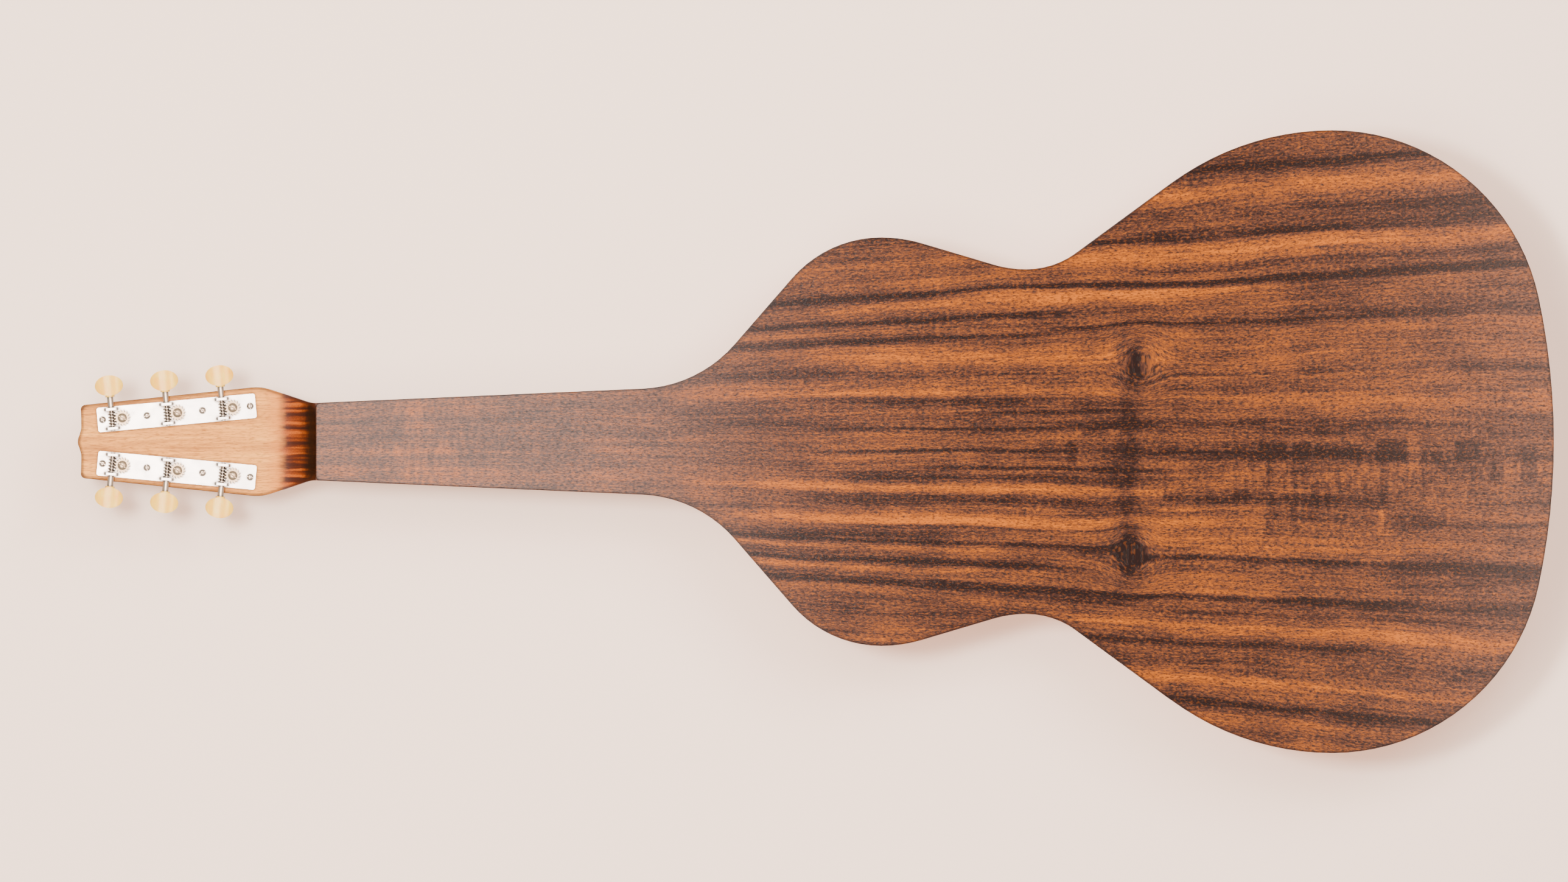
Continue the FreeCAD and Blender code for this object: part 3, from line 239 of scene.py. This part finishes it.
GRAIN_SPAN = 140.0               # distance from the seam that a profile covers (mm)
GRAIN_POINTS = 200
GRAIN_MARGIN = 15                # how far past its run a band still counts (mm)
# darker and lighter passages: x, y, reach in x, reach in y, strength
PASSAGES = (
    (-45, -13, 42, 9, -0.20), (100, -24, 30, 4, -0.12), (30, -2, 34, 6, 0.06),
    (330, -45, 90, 30, 0.04), (411, 13, 30, 14, -0.08), (-30, -14, 45, 12, -0.06),
    (140, 70, 50, 20, -0.06), (20, 88, 60, 8, -0.06), (-252, -8, 9, 30, 0.16),
    (-232, 6, 7, 24, 0.12), (-110, 16.5, 60, 3, 0.18), (-70, -26, 40, 4, 0.16),
    (-300, 2, 14, 30, 0.06), (-175, -6, 30, 14, -0.08), (250, 50, 36, 12, 0.08),
    (190, 25, 12, 26, -0.12), (290, 6, 60, 8, -0.06), (430, -30, 30, 40, -0.04),
)
# square-edged darker or lighter marks of the fiddleback: x0, x1, y0, y1, strength
BLOCKS = (
    (281, 299, 1, 12, -0.34), (303, 314, 1, 12, -0.32), (316, 346, 3, 11, -0.20),
    (356, 375, -1, 12, -0.34), (405, 421, -1, 13, -0.26), (447, 457, 2, 27, -0.24),
    (376, 382, -6, 26, 0.16), (356, 361, 44, 58, 0.22), (170, 186, -9, -3, -0.20),
    (160, 166, 0, 14, -0.24), (425, 437, 6, 27, -0.10), (221, 232, 32, 38, -0.20),
    (366, 400, 44, 57, -0.08), (286, 291, 12, 62, -0.12), (302, 306, 12, 58, -0.12),
    (357, 363, 12, 40, -0.14),
)


def edge_shade_mask(g, reach):
    """1 on the surface within about reach millimetres of an outer edge, 0 elsewhere; it marks where painted
    shade darkens rounded edges.
    """
    n = g.new("ShaderNodeAmbientOcclusion", samples=8, inside=True, only_local=True)
    n.inputs["Distance"].default_value = reach / MM
    return 1 - Sock(g, n.outputs["AO"]).step(0.58, 0.92)


def crevice_shade(g, reach):
    """1 in a crease or beside a raised part within reach millimetres, 0 in the open; it marks where painted
    shade goes.
    """
    n = g.new("ShaderNodeAmbientOcclusion", samples=6, only_local=False)
    n.inputs["Distance"].default_value = reach / MM
    return 1 - Sock(g, n.outputs["AO"]).step(0.45, 0.98)


def grain_profile(g, q, streaks, station):
    """Tone across the grain at one station, as a curve over the distance from the seam."""
    here = [(at, w, k) for at, w, k, x0, x1 in streaks
            if x0 - GRAIN_MARGIN <= station <= x1 + GRAIN_MARGIN]
    n = g.new("ShaderNodeFloatCurve")
    points = n.mapping.curves[0].points
    last = GRAIN_POINTS - 1
    for i in range(GRAIN_POINTS):
        pos = i / last
        at = GRAIN_SPAN * pos
        v = 0.5 + sum(k * math.exp(-((at - c) / w) ** 2) for c, w, k in here) * 0.5
        p = points[0] if i == 0 else points[-1] if i == last else points.new(pos, v)
        p.location = (pos, min(max(v, 0.0), 1.0))
        p.handle_type = "VECTOR"
    n.mapping.update()
    g.put(n.inputs["Value"], q / GRAIN_SPAN)
    return (Sock(g, n.outputs[0]) - 0.5) * 2.0


def grain_tone(g, x, q, side):
    """The two lists of bands laid along the back, running into each other between stations."""
    total = None
    for i, at in enumerate(GRAIN_STATIONS):
        here = None
        if i > 0:
            here = x.step(GRAIN_STATIONS[i - 1], at)
        if i < len(GRAIN_STATIONS) - 1:
            out = 1 - x.step(at, GRAIN_STATIONS[i + 1])
            here = out if here is None else here * out
        a = grain_profile(g, q, BASS_GRAIN, at)
        b = grain_profile(g, q, TREBLE_GRAIN, at)
        one = (a + (b - a) * side) * here
        total = one if total is None else total + one
    return total


def back_wood():
    """Bookmatched figured back: bands, fiddleback marks, two knots and open pores, with painted shade along
    its edges.
    """
    g = Graph("back_wood")
    x, y = g.x, g.y
    side = g.math("GREATER_THAN", y, 0.0)
    leaf = y.abs() / ((x - HEAD_END) * FAN + 1.0)
    slow = g.noise(g.vec(x / 150, y / 60, 2.0), 1.0) - 0.5
    mid = g.noise(g.vec(x / 46, y / 20, 5.0), 2.0) - 0.5
    q = leaf + slow * 5.0 + mid * 2.0
    s = leaf + slow * 8.0 + mid * 2.2 + side * 40.0
    for kx, ky, r in KNOTS:
        near = bell(g, x, kx + 3, r * 1.1) * bell(g, y, ky, r * 1.25)
        s = s - (y.abs() - abs(ky)) * near * 0.8
        q = q - (y.abs() - abs(ky)) * near * 0.6
    broad = g.noise(g.vec(x / 300, s / 13, 7.0), 1.0)
    bands = g.noise(g.vec(x / 170, s / 4.0, 11.0), 2.0, 0.6)
    lines = g.noise(g.vec(x / 70, s / 1.1, 17.0), 3.0, 0.6)
    cloud = g.noise(g.vec(x / 30, y / 14, 19.0), 2.0)
    broken = g.noise(g.vec(x / 18, s / 2.2, 13.0), 3.0) * 2.4 - 0.20
    tone = (0.435 + (broad - 0.5) * 0.45 + (bands - 0.5) * 0.70 + (lines - 0.5) * 0.75
            + (cloud - 0.5) * 0.55)
    rice = g.noise(g.vec(x / 3.2, s / 0.85, 61.0), 2.0, 0.6) - 0.5
    tone = tone + rice * 1.15
    tone = tone + grain_tone(g, x, q, side) * broken * 1.20
    for px, py, rx, ry, strength in PASSAGES:
        tone = tone + bell(g, x, px, rx) * bell(g, y, py, ry) * strength
    # cross-grain ripple, in short bars
    ripple = g.noise(g.vec(x / 3.4, y / 13, 31.0), 2.0, 0.55) - 0.5
    zone = (bell(g, x, 315, 85) * bell(g, y, 24, 30) + bell(g, x, 420, 30) * bell(g, y, 16, 18)
            + bell(g, x, 95, 40) * bell(g, y, -38, 32) * 0.6 + bell(g, x, -245, 40) * 0.7
            + bell(g, x, -150, 50) * 0.3).min(1.0)
    tone = tone + ripple * (zone * 0.85 + 0.12)
    bx = x + (g.noise(g.vec(x / 5, y / 3, 47.0), 2.0) - 0.5) * 3.0
    by = y + (g.noise(g.vec(x / 6, y / 5, 49.0), 2.0) - 0.5) * 4.0
    for x0, x1, y0, y1, strength in BLOCKS:
        inside = (bx.step(x0 - 1.2, x0 + 1.2) - bx.step(x1 - 1.2, x1 + 1.2)) * \
                 (by.step(y0 - 1.8, y0 + 1.8) - by.step(y1 - 1.8, y1 + 1.8))
        tone = tone + inside * strength
    # knots, and the shadow that joins them
    for kx, ky, r in KNOTS:
        wob = g.noise(g.vec(x / 6, y / 8, kx), 3.0) - 0.5
        core = bell(g, x + wob * 9, kx, r * 0.30) * bell(g, y + wob * 8, ky, r * 0.72)
        halo = bell(g, x + wob * 12, kx, r * 0.95) * bell(g, y - wob * 14, ky, r * 1.05)
        glow = bell(g, x, kx + 13, r * 0.6) * bell(g, y + wob * 18, ky - 3, r * 0.8)
        tone = tone - core * 0.60 - halo * 0.16 + glow * 0.14
    ragged = (g.noise(g.vec(x / 5, y / 9, 41.0), 3.0) - 0.5) * 20
    stripe = bell(g, x + ragged, 199, 6.0) * y.step(-95, -50) * (1 - y.step(70, 112))
    tone = tone - stripe * (g.noise(g.vec(x / 9, y / 12, 43.0)) * 0.7 - 0.10)
    tone = (tone - 0.5) * (0.95 + x.step(-110, 20) * 0.12) + 0.5
    color = g.ramp(tone.clamp(), [
        (0.0, (0.0105, 0.0040, 0.0034, 1)), (0.15, (0.0225, 0.0084, 0.0064, 1)),
        (0.30, (0.0450, 0.0168, 0.0108, 1)), (0.45, (0.0820, 0.0285, 0.0145, 1)),
        (0.60, (0.1440, 0.0420, 0.0130, 1)), (0.75, (0.2280, 0.0570, 0.0080, 1)),
        (0.90, (0.3200, 0.0760, 0.0040, 1)), (1.0, (0.4100, 0.0980, 0.0040, 1))])
    # open pores: short dark dashes along the grain
    p = s + (g.noise(g.vec(x / 8, y / 5, 23.0), 1.0) - 0.5) * 1.6
    dash = g.noise(g.vec(x / 2.4, p / 0.58, 29.0), 1.0, 0.6)
    far = g.noise(g.vec(x / 4.2, p / 0.95, 37.0), 2.0, 0.6)
    pores = (1 - dash.step(0.35, 0.47)).max(1 - far.step(0.33, 0.43))
    color = g.mix(pores * (0.94 - tone.clamp() * 0.22), color, (0.0070, 0.0027, 0.0021, 1))
    glint = g.noise(g.vec(x / 2.2, p / 0.8, 53.0), 1.0)
    color = g.mix(glint.step(0.52, 0.68) * (0.16 + tone.clamp() * 0.36), color,
                  (0.340, 0.084, 0.006, 1))
    # painted shade: near black on faces turned away from Z and along the rounded outer edges, but not along
    # the seam
    wall = 1 - g.flat.step(0.75, 0.97)
    rim_shade = (edge_shade_mask(g, 2.2) * y.abs().step(2.2, 4.0)).max(wall)
    color = g.mix(rim_shade * 0.9, color, (0.010, 0.0035, 0.0022, 1))
    g.bump(1 - pores, 0.030, 0.6)
    return g.surface(color, 0.17 + pores * 0.06 + wall * 0.6, Specular_IOR_Level=0.19)


def side_wood():
    g = Graph("side_wood")
    along = g.x + g.y.abs() * 0.8
    tone, dash = figured(g, along, g.z + g.y * 0.02, 9.1)
    ripple = g.noise(g.vec(along / 5.5, g.z / 60, 12.0), 2.0)
    tone = tone + (ripple - 0.5) * 0.55
    pores = dash.step(0.36, 0.58)
    color = g.ramp(tone.clamp(), [
        (0.0, srgb(36, 22, 18)), (0.3, srgb(86, 46, 30)), (0.6, srgb(140, 78, 46)),
        (1.0, srgb(196, 116, 64))])
    color = g.mix((1 - pores) * 0.6, color, srgb(44, 25, 20))
    g.bump(pores, 0.08, 0.5)
    return g.surface(color, 0.46 + (1 - pores) * 0.15, Specular_IOR_Level=0.28)


def top_wood():
    g = Graph("top_wood")
    x, y = g.x, g.y
    leaf = y.abs() / ((x - HEAD_END) * TOP_FAN + 1.0)
    tone, dash = figured(g, x, leaf, 21.7, 0.95)
    ripple = g.noise(g.vec(x / 5.0, y / 70, 8.0), 2.0)
    tone = tone + (ripple - 0.5) * 0.7 + 0.12
    pores = dash.step(0.34, 0.58)
    color = g.ramp(tone.clamp(), [
        (0.0, srgb(50, 26, 18)), (0.3, srgb(100, 53, 29)), (0.6, srgb(148, 81, 40)),
        (1.0, srgb(194, 116, 57))])
    color = g.mix((1 - pores) * 0.5, color, srgb(48, 27, 19))
    seam = bell(g, y, 0.0, 0.22)
    color = g.mix(seam * 0.6, color, srgb(50, 28, 20))
    g.bump(pores, 0.06, 0.5)
    return g.surface(color, 0.34 + (1 - pores) * 0.14, Specular_IOR_Level=0.35)


def head_wood():
    """Pale straight-grained head; the cove is flamed, and painted shade takes its end near the body to near
    black.
    """
    g = Graph("head_wood")
    x, y = g.x, g.y
    slow = g.noise(g.vec(x / 160, y / 14, 2.0), 2.0)
    fibre = g.noise(g.vec(x / 40, y / 1.6, 4.0), 3.0, 0.6)
    dash = g.noise(g.vec(x / 5.0, y / 0.6, 6.0), 2.0, 0.6)
    tone = 0.5 + (slow - 0.5) * 1.1 + (fibre - 0.5) * 1.5
    color = g.ramp(tone.clamp(), [
        (0.0, (0.42, 0.145, 0.024, 1)), (0.5, (0.76, 0.290, 0.048, 1)),
        (1.0, (0.97, 0.420, 0.080, 1))])
    pores = 1 - dash.step(0.34, 0.50)
    color = g.mix(pores * 0.55, color, (0.24, 0.065, 0.010, 1))
    thread = 1 - g.noise(g.vec(x / 8.0, y / 0.5, 26.0), 1.0).step(0.25, 0.36)
    color = g.mix(thread * 0.75, color, (0.10, 0.028, 0.008, 1))
    color = g.mix(x.step(-352, -337) * 0.55, color, (0.62, 0.150, 0.010, 1))
    # cove
    wob = g.noise(g.vec(x / 10, y / 2.4, 8.0), 3.0, 0.6)
    flame = g.noise(g.vec(x / 80, (y + wob * 2.0) / 3.0, 14.0), 1.0, 0.5).step(0.36, 0.62)
    hatch = g.noise(g.vec(x / 0.6, y / 1.0, 16.0), 2.0)
    cove_and_shade = g.ramp((flame * 0.86 + (hatch - 0.5) * 0.5 + 0.07).clamp(), [
        (0.0, (0.036, 0.0090, 0.0045, 1)), (0.4, (0.078, 0.0155, 0.0045, 1)),
        (0.75, (0.200, 0.0370, 0.0040, 1)), (1.0, (0.380, 0.0780, 0.0060, 1))])
    # painted shade: the steep end of the cove beside the back goes near black
    dark = (x + (g.noise(g.vec(x / 3, y / 6, 5.0)) - 0.5) * 5).step(-328.0, -319.0)
    cove_and_shade = g.mix(dark * 0.97, cove_and_shade, (0.0045, 0.0026, 0.0021, 1))
    reach = (x + (wob - 0.5) * 7.0).step(-342.5, -334.5)
    color = g.mix(reach, color, cove_and_shade)
    # painted shade: dark on faces turned away from Z, short of the cove, and along the rounded edges
    wall = (1 - g.flat.step(0.72, 0.97)) * (1 - x.step(-352, -342))
    rim_shade = edge_shade_mask(g, 3.4).max(wall)
    color = g.mix(rim_shade * 0.92, color, (0.045, 0.011, 0.004, 1))
    # painted shade: darker beside the plates and other raised parts on the head
    color = g.mix(crevice_shade(g, 2.0) * 0.8, color, (0.09, 0.028, 0.010, 1))
    g.bump(1 - pores, 0.03, 0.5)
    return g.surface(color, 0.40 + pores * 0.1 + wall * 0.45, Specular_IOR_Level=0.16)


def dark_wood(name, seed, dark, mid, light):
    g = Graph(name)
    tone, dash = figured(g, g.x, g.y, seed, 0.7)
    pores = dash.step(0.34, 0.52)
    color = g.ramp((tone * 0.8).clamp(), [(0.0, dark), (0.55, mid), (1.0, light)])
    color = g.mix((1 - pores) * 0.6, color, dark)
    g.bump(pores, 0.05, 0.5)
    return g.surface(color, 0.34 + (1 - pores) * 0.2, Specular_IOR_Level=0.5)


def plain_wood(name, seed, dark, light):
    """Unfinished straight-grained softwood or mahogany used inside."""
    g = Graph(name)
    rings = g.noise(g.vec(g.x / 200, g.y / 2.4, seed), 2.0)
    fibre = g.noise(g.vec(g.x / 12, g.y / 0.5, g.z / 1.2), 2.0)
    color = g.ramp((rings * 0.7 + fibre * 0.4).clamp(), [(0.25, dark), (0.8, light)])
    g.bump(fibre, 0.05, 0.5)
    return g.surface(color, 0.72)


# ---------------------------------------------------------------- metals, plastic, bone
def metal(name, color, rough, scratch=0.5, seed=0.0, grain=(60, 1.2), tarnish_and_shade=0.0,
          reach=1.8):
    g = Graph(name)
    haze = g.noise(g.vec(g.x / 7, g.y / 7, g.z / 7 + seed), 3.0)
    brushed = g.noise(g.vec(g.x / grain[0], g.y / grain[1], g.z / grain[1]), 2.0, 0.6)
    tint = g.mix(haze.step(0.4, 0.75) * 0.35, color, tuple(c * 0.72 for c in color[:3]) + (1,))
    # painted shade, with tarnish: darker brown in creases and beside raised parts
    if tarnish_and_shade:
        tint = g.mix(crevice_shade(g, reach) * tarnish_and_shade, tint, (0.045, 0.021, 0.010, 1))
    g.bump(brushed, 0.02, scratch)
    return g.surface(tint, rough + (haze - 0.5) * 0.14 + (brushed - 0.5) * 0.1, 1.0)


def button_plastic():
    """Cream celluloid: cloudy, slightly deeper in the middle."""
    g = Graph("button_plastic")
    cloud = g.noise(g.vec(g.x / 6, g.y / 9, g.z / 6), 3.0, 0.6, 0.4)
    streak = g.noise(g.vec(g.x / 1.4, g.y / 14, g.z / 1.4), 2.0)
    color = g.ramp((cloud * 0.7 + streak * 0.3).clamp(), [
        (0.3, (1.0, 0.42, 0.030, 1)), (0.55, (1.0, 0.56, 0.060, 1)), (0.8, (1.0, 0.70, 0.15, 1))])
    g.bump(cloud, 0.03, 0.4)
    return g.surface(color, 0.26 + (streak - 0.5) * 0.08, Subsurface_Weight=0.25,
                     Subsurface_Scale=0.003, Coat_Weight=0.3, Coat_Roughness=0.12)


def bone(name, a, b):
    g = Graph(name)
    fleck = g.noise(g.vec(g.x / 0.8, g.y / 5, g.z / 3), 3.0)
    color = g.ramp(fleck, [(0.35, a), (0.7, b)])
    g.bump(fleck, 0.03, 0.4)
    return g.surface(color, 0.34 + (fleck - 0.5) * 0.1)


def pearl():
    g = Graph("pearl")
    sheen = g.noise(g.vec(g.x / 1.3, g.y / 1.8, g.z / 1.3), 3.0, 0.5, 1.2)
    color = g.ramp(sheen, [(0.3, srgb(214, 222, 214)), (0.5, srgb(240, 236, 226)),
                           (0.7, srgb(222, 226, 236))])
    return g.surface(color, 0.16, Coat_Weight=0.5)


def wound():
    """Bronze wrap on a steel core: fine ridges along the string."""
    g = Graph("wound_string")
    wrap = (g.x * (2 * math.pi / 0.42)).sin() * 0.5 + 0.5
    wear = g.noise(g.vec(g.x / 25, g.y / 2, g.z / 2), 2.0)
    # painted shade and highlight: darker in the grooves between the turns of wrap, lighter on their crests
    color = g.mix(wrap * 0.5, srgb(150, 108, 62), srgb(214, 172, 116))
    color = g.mix(wear.step(0.45, 0.7) * 0.4, color, srgb(120, 90, 60))
    g.bump(wrap, 0.08, 0.8)
    return g.surface(color, 0.3 + (wear - 0.5) * 0.15, 1.0)


SOUNDHOLE_X = 154.2              # centre of the soundhole (mm)
PALE_LINES = (43.7, 47.4)        # radii of the two pale lines (mm)
CHIPS, CHIP_ROW = 120, 0.8       # chips in a turn, and width of a row of them (mm)


def rosette():
    """Rings of end-grain chips between two pale lines."""
    g = Graph("rosette_wood")
    cx, cy = g.x - SOUNDHOLE_X, g.y
    r = g.math("SQRT", cx * cx + cy * cy)
    turn = g.math("ARCTAN2", cy, cx)
    chips = g.math("FRACT", turn * (CHIPS / math.tau) + g.math("FLOOR", r / CHIP_ROW) * 0.5)
    chips = chips.step(0.35, 0.6)
    color = g.mix(chips, srgb(58, 32, 22), srgb(202, 150, 92))
    pale = bell(g, r, PALE_LINES[0], 0.35) + bell(g, r, PALE_LINES[1], 0.35)
    color = g.mix(pale.clamp(), color, srgb(228, 204, 158))
    return g.surface(color, 0.36)


MATERIALS = {
    "back_wood": back_wood(), "side_wood": side_wood(), "top_wood": top_wood(),
    "head_wood": head_wood(),
    "veneer_wood": dark_wood("veneer_wood", 3.0, srgb(24, 14, 12), srgb(58, 34, 26),
                             srgb(96, 60, 42)),
    "board_wood": dark_wood("board_wood", 6.0, srgb(22, 14, 12), srgb(52, 32, 25),
                            srgb(92, 60, 44)),
    "bridge_wood": dark_wood("bridge_wood", 12.0, srgb(24, 14, 12), srgb(60, 34, 26),
                             srgb(104, 62, 42)),
    "inner_wood": plain_wood("inner_wood", 1.0, srgb(178, 138, 92), srgb(222, 190, 142)),
    "rosette_wood": rosette(),
    "fret_inlay": plain_wood("fret_inlay", 4.0, srgb(206, 178, 128), srgb(236, 214, 170)),
    "pearl": pearl(),
    "bone": bone("bone", srgb(222, 208, 178), srgb(242, 234, 212)),
    "pin_plastic": bone("pin_plastic", srgb(228, 212, 176), srgb(244, 234, 206)),
    "nickel_plate": metal("nickel_plate", srgb(232, 228, 222), 0.24, 0.4, 1.0, tarnish_and_shade=0.9,
                          reach=2.6),
    "nickel_screw": metal("nickel_screw", srgb(222, 206, 186), 0.24, 0.4, 5.0, tarnish_and_shade=0.95),
    "worm_steel": metal("worm_steel", srgb(236, 220, 200), 0.32, 0.5, 9.0, tarnish_and_shade=0.85),
    "gear_brass": metal("gear_brass", srgb(206, 184, 154), 0.34, 0.5, 13.0, tarnish_and_shade=0.95),
    "post_nickel": metal("post_nickel", srgb(238, 224, 206), 0.24, 0.4, 17.0, tarnish_and_shade=0.8),
    "button_plastic": button_plastic(),
    "plain_string": metal("plain_string", srgb(214, 214, 214), 0.22, 0.2, 19.0),
    "wound_string": wound(),
    "brass": metal("brass", srgb(214, 172, 96), 0.28, 0.4, 23.0),
}
slot_of = {s["node"]: s["material_slot"] for s in frame["record"]["subparts"]}
for name, ob in nodes.items():
    ob.data.materials.clear()
    ob.data.materials.append(MATERIALS[slot_of[name]])


# ---------------------------------------------------------------- string windings on the posts
def tube(name, points, radius, sides=10):
    """Closed round wire through a list of points."""
    verts, faces = [], []
    side = Vector((0, 0, 1))
    for i, p in enumerate(points):
        ahead = (points[min(i + 1, len(points) - 1)] - points[max(i - 1, 0)]).normalized()
        side = (side - ahead * side.dot(ahead)).normalized()
        up = ahead.cross(side)
        for k in range(sides):
            a = math.tau * k / sides
            verts.append(p + side * (radius * math.cos(a)) + up * (radius * math.sin(a)))
    for i in range(len(points) - 1):
        for k in range(sides):
            a, b = i * sides + k, i * sides + (k + 1) % sides
            faces.append((a, b, b + sides, a + sides))
    faces.append(tuple(reversed(range(sides))))
    last = (len(points) - 1) * sides
    faces.append(tuple(range(last, last + sides)))
    mesh = bpy.data.meshes.new(name)
    mesh.from_pydata(verts, [], faces)
    mesh.polygons.foreach_set("use_smooth", [True] * len(faces))
    ob = bpy.data.objects.new(name, mesh)
    bpy.context.scene.collection.objects.link(ob)
    return ob


STRING_R = {1: 0.20, 2: 0.23, 3: 0.33, 4: 0.45, 5: 0.56, 6: 0.71}      # mm
PLAIN_STRINGS = 2                # strings 1 and 2 are plain steel, the others are wound
WAIST_R, EYE_RISE = 2.2, 25.0    # post radius at the coil and height of the eye (mm)
WAIST_LENGTH, CLEARANCE = 2.9, 0.03      # room for the coil, gap to the post (mm)
TURNS, STEPS_PER_TURN = 3, 26
for n, r in STRING_R.items():
    turn_joint = joints["post_turn_%d" % n]
    axis = Vector(turn_joint["axis"])
    eye = Vector(turn_joint["pos_m"]) + axis * (EYE_RISE / MM)
    u = Vector((1, 0, 0))
    u = (u - axis * u.dot(axis)).normalized()
    v = axis.cross(u)
    coil_r = (WAIST_R + r + CLEARANCE) / MM
    drop = min(2 * r + 0.05, WAIST_LENGTH / TURNS) / MM
    inward = -1 if n <= 3 else 1
    pts = []
    for i in range(STEPS_PER_TURN * TURNS + 1):
        a = math.tau * i / STEPS_PER_TURN
        level = (0.5 * TURNS - i / STEPS_PER_TURN) * drop
        pts.append(eye + (u * math.cos(a) + v * inward * math.sin(a)) * coil_r + axis * level)
    loose_end = [pts[-1] + v * inward * (0.7 * k) / MM + u * (-0.25 * k * k) / MM
                 for k in range(1, 4)]
    coil = tube("string_winding_%d" % n, pts + loose_end, r / MM)
    slot = "plain_string" if n <= PLAIN_STRINGS else "wound_string"
    coil.data.materials.append(MATERIALS[slot])
    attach(coil, "post_%d" % n)


# ---------------------------------------------------------------- stage
PAPER = (0.88, 0.720, 0.600, 1)          # albedo of the pale paper
PAPER_GLOW = (0.62, 0.28, 0.17, 1)       # light that reaches it by way of the room
WALL_GLOW = (2.90, 2.12, 1.70, 1)


def stage_object(name, verts, faces, albedo, glow):
    """Backdrop that only the camera sees, and only from its front."""
    mesh = bpy.data.meshes.new(name)
    mesh.from_pydata(verts, [], faces)
    ob = bpy.data.objects.new(name, mesh)
    bpy.context.scene.collection.objects.link(ob)
    mat = bpy.data.materials.new(name)
    mat.use_nodes = True
    tree = mat.node_tree
    tree.nodes.clear()
    out = tree.nodes.new("ShaderNodeOutputMaterial")
    diffuse = tree.nodes.new("ShaderNodeBsdfDiffuse")
    diffuse.inputs["Color"].default_value = albedo
    emit = tree.nodes.new("ShaderNodeEmission")
    emit.inputs["Color"].default_value = glow
    both = tree.nodes.new("ShaderNodeAddShader")
    clear = tree.nodes.new("ShaderNodeBsdfTransparent")
    geometry = tree.nodes.new("ShaderNodeNewGeometry")
    pick = tree.nodes.new("ShaderNodeMixShader")
    link = tree.links.new
    link(diffuse.outputs[0], both.inputs[0])
    link(emit.outputs[0], both.inputs[1])
    link(geometry.outputs["Backfacing"], pick.inputs[0])
    link(both.outputs[0], pick.inputs[1])
    link(clear.outputs[0], pick.inputs[2])
    link(pick.outputs[0], out.inputs[0])
    mesh.materials.append(mat)
    ob.visible_diffuse = ob.visible_glossy = ob.visible_transmission = False
    ob.visible_shadow = False


def square(half, z):
    return [(-half, -half, z), (half, -half, z), (half, half, z), (-half, half, z)]


# the guitar lies on the floor for views from above; the table top is behind the strings and
# shows only from the back, where the main camera stands
FLOOR_Z, TABLE_Z = -0.0006, 0.0860
WALL_RADIUS, WALL_HEIGHT, PANELS = 18, 14.0, 48
stage_object("floor", square(20.0, FLOOR_Z), [(0, 1, 2, 3)], PAPER, PAPER_GLOW)
stage_object("table_top", square(4.0, TABLE_Z), [(3, 2, 1, 0)], PAPER, PAPER_GLOW)
ring = [(WALL_RADIUS * math.cos(math.tau * k / PANELS),
         WALL_RADIUS * math.sin(math.tau * k / PANELS)) for k in range(PANELS)]
stage_object("wall", [(a, b, 0.0) for a, b in ring] + [(a, b, WALL_HEIGHT) for a, b in ring],
             [(k, k + PANELS, (k + 1) % PANELS + PANELS, (k + 1) % PANELS)
              for k in range(PANELS)],
             (0, 0, 0, 1), WALL_GLOW)


def area_light(name, pos, target, size_x, size_y, radiance, color=(1, 1, 1)):
    """Soft box that gives the same brightness whatever its size; no target points it square
    at the back, with size_x along X."""
    data = bpy.data.lights.new(name, "AREA")
    data.shape, data.size, data.size_y = "RECTANGLE", size_x, size_y
    data.energy, data.color = radiance * math.pi * size_x * size_y, color
    ob = bpy.data.objects.new(name, data)
    bpy.context.scene.collection.objects.link(ob)
    ob.location = pos
    if target is None:
        ob.rotation_euler = (math.pi, 0, 0)
    else:
        ob.rotation_mode = "QUATERNION"
        ob.rotation_quaternion = (Vector(target) - Vector(pos)).to_track_quat("-Z", "Y")
    ob.visible_camera = False
    return ob


# below the back, on the main camera's side: two boxes that shine in the gloss of the head and
# neck and of the tail, and a key and a fill that cast the soft shadows
area_light("softbox_left", (-0.46, -0.10, -2.2), None, 0.72, 1.7, 17.0, (1, 0.85, 0.77))
right = area_light("softbox_right", (0.92, -0.10, -2.3), None, 0.60, 1.5, 12.0, (1, 0.74, 0.62))
key = area_light("key", (-0.58, -0.14, -2.3), (0.0, 0, 0), 0.30, 0.30, 222.0)
fill = area_light("fill", (0.95, -0.95, -2.4), (0.1, 0, 0), 1.3, 1.3, 12.0)
right.visible_diffuse = False
key.visible_glossy = fill.visible_glossy = False
# above the soundboard, for the views from the front
area_light("softbox_over", (-1.3, -1.5, 2.2), (0, 0, 0.03), 1.4, 1.4, 26.0)
area_light("softbox_far", (1.7, 1.6, 1.9), (0, 0, 0.03), 1.2, 1.2, 15.0)

world = bpy.data.worlds.new("room")
world.use_nodes = True
room = world.node_tree.nodes["Background"]
room.inputs["Color"].default_value = (1.0, 0.90, 0.82, 1)
room.inputs["Strength"].default_value = 0.60
bpy.context.scene.world = world

# ---------------------------------------------------------------- camera, square on to the back
DISTANCE, SEEN_WIDTH, SENSOR = 5.0, 0.9918, 36.0
cam_data = bpy.data.cameras.new("camera")
cam_data.sensor_width = SENSOR
cam_data.lens = SENSOR * DISTANCE / SEEN_WIDTH
cam_data.clip_start, cam_data.clip_end = 0.05, 60
cam = bpy.data.objects.new("camera", cam_data)
cam.location = (-0.019, -0.0004, -DISTANCE)
cam.rotation_euler = (math.pi, 0, 0)
bpy.context.scene.collection.objects.link(cam)
bpy.context.scene.camera = cam
